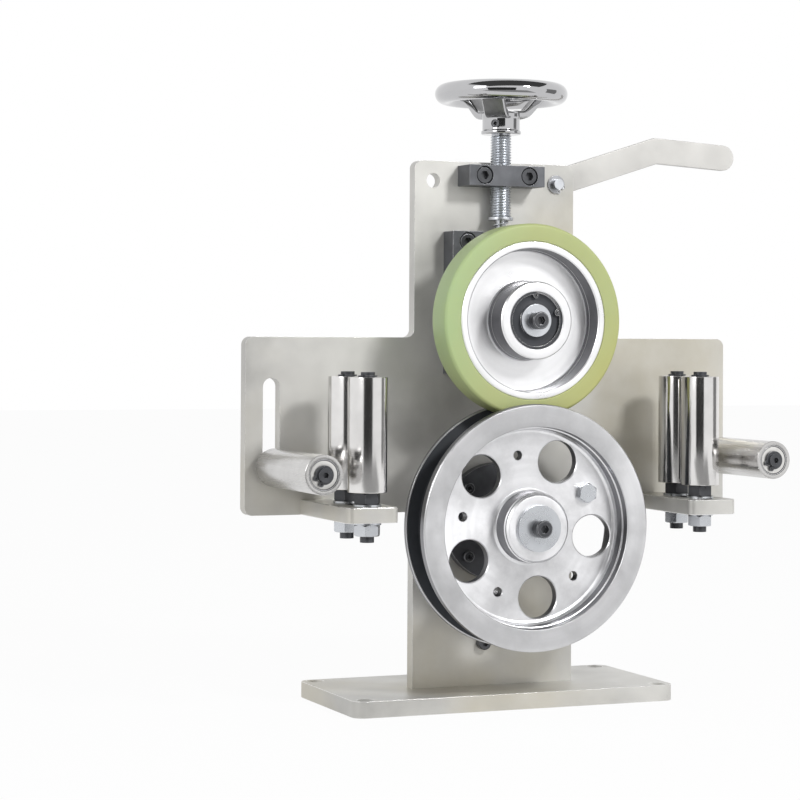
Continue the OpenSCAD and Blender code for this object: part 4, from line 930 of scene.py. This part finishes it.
class COUNTER_OT_metering_wheel(bpy.types.Operator):
    """Grooved metering wheel with its windows, dark groove, shaft and housing bearings"""

    bl_idname = "counter.metering_wheel"
    bl_label = "Metering wheel"

    def execute(self, context):
        origin = axle_point(METER_AXIS)
        flange = half_width("metering_wheel")
        layer_r = half_width("groove_lining", axis=2)
        floor_r = layer_r - 2.0 * MM
        self.turn_wheel(origin, flange, floor_r)
        self.line_groove(origin, flange, floor_r, layer_r)
        fine = context.scene.counter_sizes.fastener_round
        soften_nodes(GROUND_STEEL, fine, "metering_shaft")
        soften_nodes(ZINC, fine, "shaft_key")
        soften_nodes(DARK_RING, fine, "shaft_ring")
        soften_nodes(ZINC, fine * 1.5, "metering_end_washer")
        soften_nodes(BLACK_SCREW, fine, "metering_end_screw")
        soften_nodes(ZINC, fine, "trigger_bolt", "trigger_nut")
        wheel_bearings("housing_bearing", origin, "housing_bearings", "frame")
        return {"FINISHED"}

    def turn_wheel(self, origin, flange, floor_r):
        """The wheel's section, from its bore round the rear, the groove, the rim, the dish and the boss."""
        rear, boss_front = depths("metering_wheel")
        groove_rear, groove_front = depths("groove_lining")
        front = boss_front - 1.0 * MM
        rim_in, boss_r = 73.5 * MM, 26.0 * MM
        web_front = front - 16.5 * MM
        web_rear = web_front - 8.0 * MM
        step = front - 6.0 * MM
        outside = [
            (SHAFT_BORE, rear), (boss_r, rear), (boss_r, web_rear), (rim_in, web_rear), (rim_in, rear),
            *beside(flange, rear, (-0.6, 0), (0, 0.6)),
            *beside(flange, groove_rear, (0, -0.5), (-0.5, 0)), (floor_r, groove_rear),
            (floor_r, groove_front), *beside(flange, groove_front, (-0.5, 0), (0, 0.5)),
            *beside(flange, front, (0, -1.0), (-1.0, 0)),
        ]
        dish = [
            *beside(rim_in, front, (0.6, 0), (0, -0.6)),
            *beside(rim_in, step, (-0.3, 0), (-1.3, -0.4)),
            *beside(rim_in, web_front, (-1.5, 3.2), (-2.8, 0.9), (-4.6, 0)),
            *beside(boss_r, web_front, (2.0, 0), (0, 1.2)),
        ]
        boss = [
            *beside(boss_r, boss_front, (0, -3.4), (-0.9, -2.8), (-1.0, -1.6), (-2.6, 0)),
            (SHAFT_BORE, boss_front),
        ]
        wheel = new_piece(
            "metering_wheel_body", ring_shape(outside + dish + boss, 0.22 * MM, around=240),
            origin, TOWARDS_VIEWER, "wheel_aluminium", "metering_wheel",
        )
        cut_away(wheel, self.hole_cutters(origin, web_rear, web_front))
        # Painted shade on the wheel's walls.
        paint_wall_shade(wheel, "wheel_wall")
        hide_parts("metering_wheel")

    def hole_cutters(self, origin, web_rear, web_front):
        """Five windows and five small holes on one circle; the first small hole takes the trigger bolt."""
        circle_r, windows = 52.8 * MM, 5
        first_window, first_hole = 63.0, 27.0
        window_r, hole_r, bolt_hole_r = 15.5 * MM, 3.4 * MM, 4.05 * MM
        cutters = []
        for index in range(windows):
            small_r = hole_r if index else bolt_hole_r
            for label, first, radius, flare in (
                ("window", first_window, window_r, 0.7 * MM), ("small_hole", first_hole, small_r, 0.35 * MM)
            ):
                angle = math.radians(first + 360 / windows * index)
                centre = origin + circle_r * np.array([math.cos(angle), 0, math.sin(angle)])
                cutters.append(spool(f"{label}_{index}", centre, radius, web_rear, web_front, flare))
        return cutters

    def line_groove(self, origin, flange, floor_r, layer_r):
        """The dark layer: a thick band on the groove's floor and thin walls up both its sides."""
        groove_rear, groove_front = depths("groove_lining")
        clear, wall = 0.02 * MM, 0.35 * MM
        floor_in, wall_out = floor_r + 0.03 * MM, flange - 1.1 * MM
        rear_wall, front_wall = groove_rear + wall, groove_front - wall
        layer = [
            (floor_in, groove_rear + clear), (wall_out, groove_rear + clear), (wall_out, rear_wall),
            *beside(layer_r, rear_wall, (0.6, 0), (0, 0.6)),
            *beside(layer_r, front_wall, (0, -0.6), (0.6, 0)),
            (wall_out, front_wall), (wall_out, groove_front - clear), (floor_in, groove_front - clear),
        ]
        lining = new_piece(
            "groove_layer", ring_shape(layer, 0.1 * MM, around=240),
            origin, TOWARDS_VIEWER, "groove_layer", "metering_wheel",
        )
        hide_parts("groove_lining")


class COUNTER_OT_pressure_wheel(bpy.types.Operator):
    """Pressure wheel: dished hub, cast tyre, bearings, retaining ring and axle"""

    bl_idname = "counter.pressure_wheel"
    bl_label = "Pressure wheel"

    def execute(self, context):
        origin = axle_point(PRESS_AXIS)
        rear, front = depths("pressure_tyre")
        hub_r = half_width("pressure_hub")
        self.turn_hub(origin, hub_r, rear, front)
        self.make_tyre(origin, hub_r, rear, front)
        wheel_bearings("pressure_bearing", origin, "pressure_bearings", "pressure_wheel")
        fine = context.scene.counter_sizes.fastener_round
        soften_nodes(EDGED_RING, fine * 1.8, "hub_ring")
        soften_nodes(GROUND_STEEL, fine, "pressure_axle")
        soften_nodes(ZINC, fine, "pressure_end_washer")
        soften_nodes(BLACK_SCREW, fine, "pressure_end_screw")
        return {"FINISHED"}

    def turn_hub(self, origin, hub_r, rear, front):
        """The hub's section, from its bearing seat round the rear, the rim, the dish and the boss."""
        boss_rear, boss_front = depths("pressure_hub")
        bearing_rear, bearing_front = depths("pressure_bearings")
        rear_seat, front_seat = bearing_rear + BEARING_WIDTH, bearing_front - BEARING_WIDTH
        seat, shoulder, boss_r, dish_r = BEARING_RADIUS + 0.03 * MM, 18.5 * MM, 28.5 * MM, 52.6 * MM
        dish = front - 18.0 * MM
        ring_r, ring_top = 22.1 * MM, bearing_front + 1.75 * MM
        rim = [
            (shoulder, rear_seat), (seat, rear_seat), (seat, boss_rear), (boss_r, boss_rear),
            (boss_r, rear), (hub_r, rear), *beside(hub_r, front, (0, -0.7), (-0.7, 0)),
        ]
        hollow = [
            *beside(dish_r, front, (0.8, 0), (0, -0.8)),
            *beside(dish_r, dish, (-0.3, 5.0), (-0.7, 4.6), (-0.8, 0.8), (-1.6, 0)),
            *beside(boss_r, dish, (1.4, 0), (0.4, 0.9), (0.3, 5.5), (0, 5.8)),
        ]
        boss = [
            *beside(boss_r, boss_front, (0, -1.0), (-1.0, 0)),
            *beside(seat, boss_front, (0.6, 0), (0, -0.5)), (seat, ring_top), (ring_r, ring_top),
            (ring_r, bearing_front), (seat, bearing_front), (seat, front_seat), (shoulder, front_seat),
        ]
        hub = new_piece(
            "pressure_hub_body", ring_shape(rim + hollow + boss, 0.2 * MM, around=200),
            origin, TOWARDS_VIEWER, "hub_aluminium", "pressure_wheel",
        )
        # Painted shade on the hub's walls.
        paint_wall_shade(hub, "hub_wall")
        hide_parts("pressure_hub")

    def make_tyre(self, origin, hub_r, rear, front):
        """The tyre's band with its bevelled running edges, cast round the hub."""
        tyre_r = half_width("pressure_tyre")
        inner_r = hub_r + 0.03 * MM
        band = [
            (inner_r, rear), *beside(tyre_r, rear, (-1.6, 0), (0, 1.6)),
            *beside(tyre_r, front, (0, -1.6), (-1.6, 0)), *beside(inner_r, front, (0.5, 0), (0, -0.5)),
        ]
        tyre = new_piece(
            "pressure_tyre_body", ring_shape(band, 0.9 * MM, around=220),
            origin, TOWARDS_VIEWER, "cast_tyre", "pressure_wheel",
        )
        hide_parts("pressure_tyre")


# ---- Screw gear ----


def wire_tube(path, ahead, thickness, sides=14):
    """A round wire along a path: circles square to the direction of travel, with both ends closed."""
    ahead = unit(ahead)
    side = unit(np.cross(UPWARDS, ahead))
    above = np.cross(ahead, side)
    angle = TURN * np.arange(sides)[:, None] / sides
    ring = side[:, None] * np.cos(angle) + above[:, None] * np.sin(angle)
    return capped(path[:, None] + thickness / 2 * ring)


class COUNTER_OT_spindle(bpy.types.Operator):
    """Threaded spindle, spring seat and pressure spring"""

    bl_idname = "counter.spindle"
    bl_label = "Spindle and spring"

    def execute(self, context):
        sizes = context.scene.counter_sizes
        self.make_spindle(sizes.spindle_pitch)
        soften_nodes(ZINC, sizes.fastener_round * 1.6, "spring_seat")
        self.make_spring(sizes.spring_turns)
        return {"FINISHED"}

    def make_spindle(self, pitch):
        """A spigot below the spring seat, the thread up to the handwheel and a plain neck in its hub."""
        low, high = corners("spindle")
        foot = float(corners("spring_seat")[1][2]) + 0.05 * MM
        hub_bottom = float(corners("handwheel")[0][2])
        crest = half_width("spindle")
        spigot_r, neck_r = 4.0 * MM, crest - 1.0 * MM
        spigot_top, neck_foot = foot + 1.0 * MM, hub_bottom - 1.2 * MM
        spigot = [
            (0, low[2]), *beside(spigot_r, low[2], (-0.6, 0), (0, 0.6)), (spigot_r, spigot_top),
            (0, spigot_top),
        ]
        neck = [
            (0, neck_foot), (neck_r, neck_foot), *beside(neck_r, high[2], (0, -0.8), (-0.8, 0)),
            (0, high[2]),
        ]
        thread_top = hub_bottom - 0.6 * MM
        thread = threaded_surface(
            crest, pitch, depth=0.55 * pitch, length=thread_top - foot, lead_in=0.9 * MM,
            around=72, foot=foot,
        )
        shape = joined(solid_shape(spigot, 48), solid_shape(neck, 48), thread)
        spindle = new_piece(
            "spindle_thread", shape, SPINDLE_FOOT, UPWARDS, "zinc", "spindle", sharp_past=50
        )
        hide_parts("spindle")

    def make_spring(self, turns):
        """Wire along a helix that stands in the slide block's pocket and carries the seat.

        The wire's direction is the helix's slope: a quarter turn ahead of its radius, and its rise.
        """
        low, high = corners("pressure_spring")
        wire, steps_per_turn = 1.6 * MM, 40
        radius = half_width("pressure_spring") - wire / 2
        t = np.linspace(0, turns * TURN, turns * steps_per_turn + 1)
        foot, top = low[2] + wire / 2, high[2] - wire / 2
        rise = (top - foot) / (turns * TURN)
        path = round_points(radius, t, foot + rise * t)
        ahead = round_points(radius, t + TURN / 4, rise)
        shape = wire_tube(path, ahead, wire)
        spring = new_piece("spring_wire", shape, SPINDLE_FOOT, UPWARDS, "zinc", "seat")
        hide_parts("pressure_spring")
        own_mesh(spring)


def rounded_sections(widths, height, corner, count=32):
    """Rounded rectangles, one for each width: a small circle's quarters moved out to the four corners."""
    angle = TURN * (np.arange(count) + 0.5) / count
    direction = np.stack([np.cos(angle), np.sin(angle)], 1)
    half = np.stack([widths / 2 - corner, np.full_like(widths, height / 2 - corner)], 1)
    return direction * corner + np.sign(direction) * half[:, None]


class COUNTER_OT_handwheel(bpy.types.Operator):
    """Chromed three-spoke handwheel and its grub screw"""

    bl_idname = "counter.handwheel"
    bl_label = "Handwheel"

    def execute(self, context):
        sizes = context.scene.counter_sizes
        low, high = corners("handwheel")
        tube = sizes.rim_section / 2
        rim_r, rim_z = half_width("handwheel") - tube, high[2] - tube
        sides = 44
        angle = TURN * np.arange(sides) / sides
        section = np.stack([rim_r + tube * np.cos(angle), rim_z + tube * np.sin(angle)], 1)
        shape = ring_shape(section, round_off=0, around=200)
        rim = new_piece("handwheel_rim", shape, SPINDLE_FOOT, UPWARDS, "chrome", "spindle")
        hub_top = low[2] + 17.0 * MM
        hub = self.make_hub(low[2], hub_top)
        first_turn, spoke_count = 232, 3
        turns = [math.radians(first_turn + 360 / spoke_count * index) for index in range(spoke_count)]
        arms = joined(*(self.spoke(sizes, rim_r, rim_z, hub_top, turn) for turn in turns))
        spokes = new_piece(
            "handwheel_spokes", arms, SPINDLE_FOOT, UPWARDS, "cast_chrome", "spindle", sharp_past=48
        )
        self.polish_sides(spokes)
        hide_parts("handwheel")
        soften_nodes(BLACK_SCREW, sizes.fastener_round, "grub_screw")
        return {"FINISHED"}

    def make_hub(self, bottom, top):
        """The turned hub: a lip at its foot, a flare below the spokes and the grub screw's hole."""
        bore, hub_r = 7.05 * MM, 15.0 * MM
        profile = [
            (bore, bottom), *beside(hub_r, bottom, (-0.6, 0), (0, 0.6), (0, 2.4), (-0.9, 3.2)),
            *beside(hub_r, top, (-0.9, -5.6), (-0.1, -3.8), (-0.1, -1.2), (-1.3, 0)), (bore, top),
        ]
        shape = ring_shape(profile, 0.4 * MM, around=96)
        hub = new_piece("handwheel_hub", shape, SPINDLE_FOOT, UPWARDS, "chrome", "spindle")
        screw = middle("grub_screw")
        on_axis = SPINDLE_FOOT + screw[2] * UPWARDS
        outward = unit(screw - on_axis)
        start = on_axis + outward * (bore - 1.0 * MM)
        reach, hole_r, flare = hub_r - bore + 0.6 * MM, 3.1 * MM, 0.35 * MM
        cut_away(hub, [spool("grub_hole", start, hole_r, 0.0, reach, flare, outward, around=40)])
        return hub

    def spoke(self, sizes, rim_r, rim_z, hub_top, turn):
        """A flat arm that leaves the hub level, climbs steeply and enters the rim, with closed ends.

        A rounded section goes along the arm's bent line, square to it, a little narrower at mid-length.
        """
        level, thickness, corner = hub_top - 2.1 * MM, 6.0 * MM, 1.6 * MM
        rows, narrowing = 26, 0.06
        knots = np.array([
            *beside(0, level, (8.5, 0), (15.6, 0), (17.6, 0.7), (19.6, 2.3)),
            *beside(0, rim_z, (28.4, -3.3), (30.3, -1.6), (33.0, -0.4)),
            *beside(rim_r, rim_z, (-3.0, 0)),
        ])
        reach_along = np.concatenate([[0], np.cumsum(np.linalg.norm(np.diff(knots, axis=0), axis=1))])
        steps = np.linspace(0, reach_along[-1], rows)
        path = np.stack([np.interp(steps, reach_along, knots[:, axis]) for axis in (0, 1)], 1)
        path[1:-1] = (path[:-2] + 2 * path[1:-1] + path[2:]) / 4
        ahead = unit(np.gradient(path, axis=0))[:, None]
        widths = sizes.spoke_width * (1.0 - narrowing * np.sin(math.pi * steps / steps[-1]))
        across, up = np.moveaxis(rounded_sections(widths, thickness, corner), -1, 0)
        outward = path[:, :1] - up * ahead[..., 1]
        height = path[:, 1:] + up * ahead[..., 0]
        cos, sin = math.cos(turn), math.sin(turn)
        return capped(np.stack([outward * cos - across * sin, outward * sin + across * cos, height], -1))

    def polish_sides(self, spokes):
        """Chrome on the rounded sides of the arms; their flat faces stay as cast."""
        sideways = 0.3
        normals = face_vectors(spokes.data, "normal")
        middles = face_vectors(spokes.data, "center") - SPINDLE_FOOT
        away = np.hypot(middles[:, 0], middles[:, 1])
        around = (normals[:, 1] * middles[:, 0] - normals[:, 0] * middles[:, 1]) / np.maximum(away, 1e-6)
        refinish(spokes.data, "chrome", np.abs(around) > sideways)


# ---- Guide rollers ----


class COUNTER_OT_rollers(bpy.types.Operator):
    """Six guide rollers: tubes, bearings, axles, rings, nuts and washers"""

    bl_idname = "counter.rollers"
    bl_label = "Guide rollers"

    def execute(self, context):
        edge = context.scene.counter_sizes.fastener_round * 1.3
        wall, bearing_bore, bearing_width, inset = 3.0 * MM, 5.05 * MM, 6.0 * MM, 0.3 * MM
        for name in ROLLERS:
            level = name.endswith("level")
            low, high = corners("roller_" + name)
            origin = (low + high) / 2
            if level:
                origin[1] = high[1]
                # The level tubes take the darkened roller colour: painted shade.
                axis, length, key = TOWARDS_VIEWER, high[1] - low[1], "level_tube"
            else:
                origin[2] = low[2]
                axis, length, key = UPWARDS, high[2] - low[2], "upright_tube"
            outside = (high[0] - low[0]) / 2
            inside, body = outside - wall, name + "_roller"
            shape = ring_shape(square_ring(inside, outside, 0, length), 0.6 * MM, around=128)
            tube = new_piece("tube_" + name, shape, origin, axis, key, body)
            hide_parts("roller_" + name)
            starts = (inset, length - bearing_width - inset)
            bearing_pieces(
                "bearing_" + name, origin, axis, bearing_bore, inside - 0.03 * MM, starts, bearing_width,
                body, shielded=True,
            )
            # The axle's rounded edges take the black edge colour: wear with a painted highlight.
            axle = softened("axle_" + name, edge, finish("black_screw"), finish("worn_black"))
            self.plate_the_washers(axle, name, level)
        return {"FINISHED"}

    def plate_the_washers(self, axle, name, level):
        """Zinc on the washers and the outer nut: all but the stud past the upper nut's seat."""
        washer, stud_r = 1.61 * MM, 5.02 * MM
        centre, middles = middle("axle_" + name), face_vectors(axle.data, "center")
        if level:
            across, height, carrier = 2, -middles[:, 1], -PLATE_FRONT
        else:
            across, height, carrier = 1, middles[:, 2], corners("guide_bar_left")[1][2]
        off_axis = np.hypot(middles[:, 0] - centre[0], middles[:, across] - centre[across])
        refinish(axle.data, "zinc", (off_axis > stud_r) & (height < carrier + washer))


# ---- Fasteners and sensor ----


class COUNTER_OT_fasteners(bpy.types.Operator):
    """Screws, lift pin, lever pin and its ring"""

    bl_idname = "counter.fasteners"
    bl_label = "Fasteners"

    def execute(self, context):
        fine = context.scene.counter_sizes.fastener_round
        soften_nodes(
            BLACK_SCREW, fine, "base_screws", "bar_screws", "housing_screws", "bracket_screw", "lift_screws"
        )
        soften_nodes(BLACK_SCREW, fine * 2.6, "block_screws", "rail_screws")
        soften_nodes(GREY_RING, fine, "lever_pin_ring")
        soften_nodes(ZINC, fine * 1.5, "lever_pivot_pin", "lift_pin")
        return {"FINISHED"}


class COUNTER_OT_sensor(bpy.types.Operator):
    """Proximity sensor with its threaded body, coloured face and nuts"""

    bl_idname = "counter.sensor"
    bl_label = "Sensor"

    def execute(self, context):
        low, high = corners("proximity_sensor")
        origin = (low + high) / 2
        origin[1] = high[1]
        length, radius = float(high[1] - low[1]), half_width("proximity_sensor")
        face_t = 2.0 * MM
        thread = threaded_surface(
            radius, pitch=1.0 * MM, depth=0.45 * MM, length=length - face_t, lead_in=0.5 * MM,
            around=56, per_turn=8,
        )
        barrel = new_piece(
            "sensor_barrel", thread, origin, TOWARDS_VIEWER, "sensor_nickel", "frame", sharp_past=50
        )
        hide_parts("proximity_sensor")
        cap_r = radius - 0.75 * MM
        start = length - face_t - 0.4 * MM
        outline = [
            (0, start), (cap_r, start), *beside(cap_r, length, (0, -0.5), (-0.5, 0)), (0, length)
        ]
        shape = solid_shape(outline, 56)
        cap = new_piece("sensor_cap", shape, origin, TOWARDS_VIEWER, "sensor_face", "frame")
        soften_nodes(ZINC, context.scene.counter_sizes.fastener_round, "sensor_nuts")
        return {"FINISHED"}


# ---- Panel ----

OPERATORS = (
    COUNTER_OT_stage,
    COUNTER_OT_plates,
    COUNTER_OT_blocks,
    COUNTER_OT_metering_wheel,
    COUNTER_OT_pressure_wheel,
    COUNTER_OT_spindle,
    COUNTER_OT_handwheel,
    COUNTER_OT_rollers,
    COUNTER_OT_fasteners,
    COUNTER_OT_sensor,
)


class COUNTER_PT_panel(bpy.types.Panel):
    """Lists the steps that dress the counter"""

    bl_idname = "COUNTER_PT_panel"
    bl_label = "Cable length counter"
    bl_space_type = "VIEW_3D"
    bl_region_type = "UI"
    bl_category = "Counter"

    def draw(self, context):
        for operator in OPERATORS:
            self.layout.operator(operator.bl_idname)
        for group in (context.scene.counter_sizes, context.scene.counter_colours):
            for key in group.__annotations__:
                self.layout.prop(group, key)


CLASSES = (CounterSizes, CounterColours, *OPERATORS, COUNTER_PT_panel)


def register():
    """Adds the classes and the scene's two groups of properties."""
    for item in CLASSES:
        bpy.utils.register_class(item)
    bpy.types.Scene.counter_sizes = bpy.props.PointerProperty(type=CounterSizes)
    bpy.types.Scene.counter_colours = bpy.props.PointerProperty(type=CounterColours)


def unregister():
    """Takes them away again."""
    del bpy.types.Scene.counter_colours
    del bpy.types.Scene.counter_sizes
    for item in reversed(CLASSES):
        bpy.utils.unregister_class(item)


def main():
    """Registers the classes and runs every step in order."""
    register()
    for operator in OPERATORS:
        group, step = operator.bl_idname.split(".")
        getattr(getattr(bpy.ops, group), step)()
    bpy.context.view_layer.update()


if __name__ == "__main__":
    main()
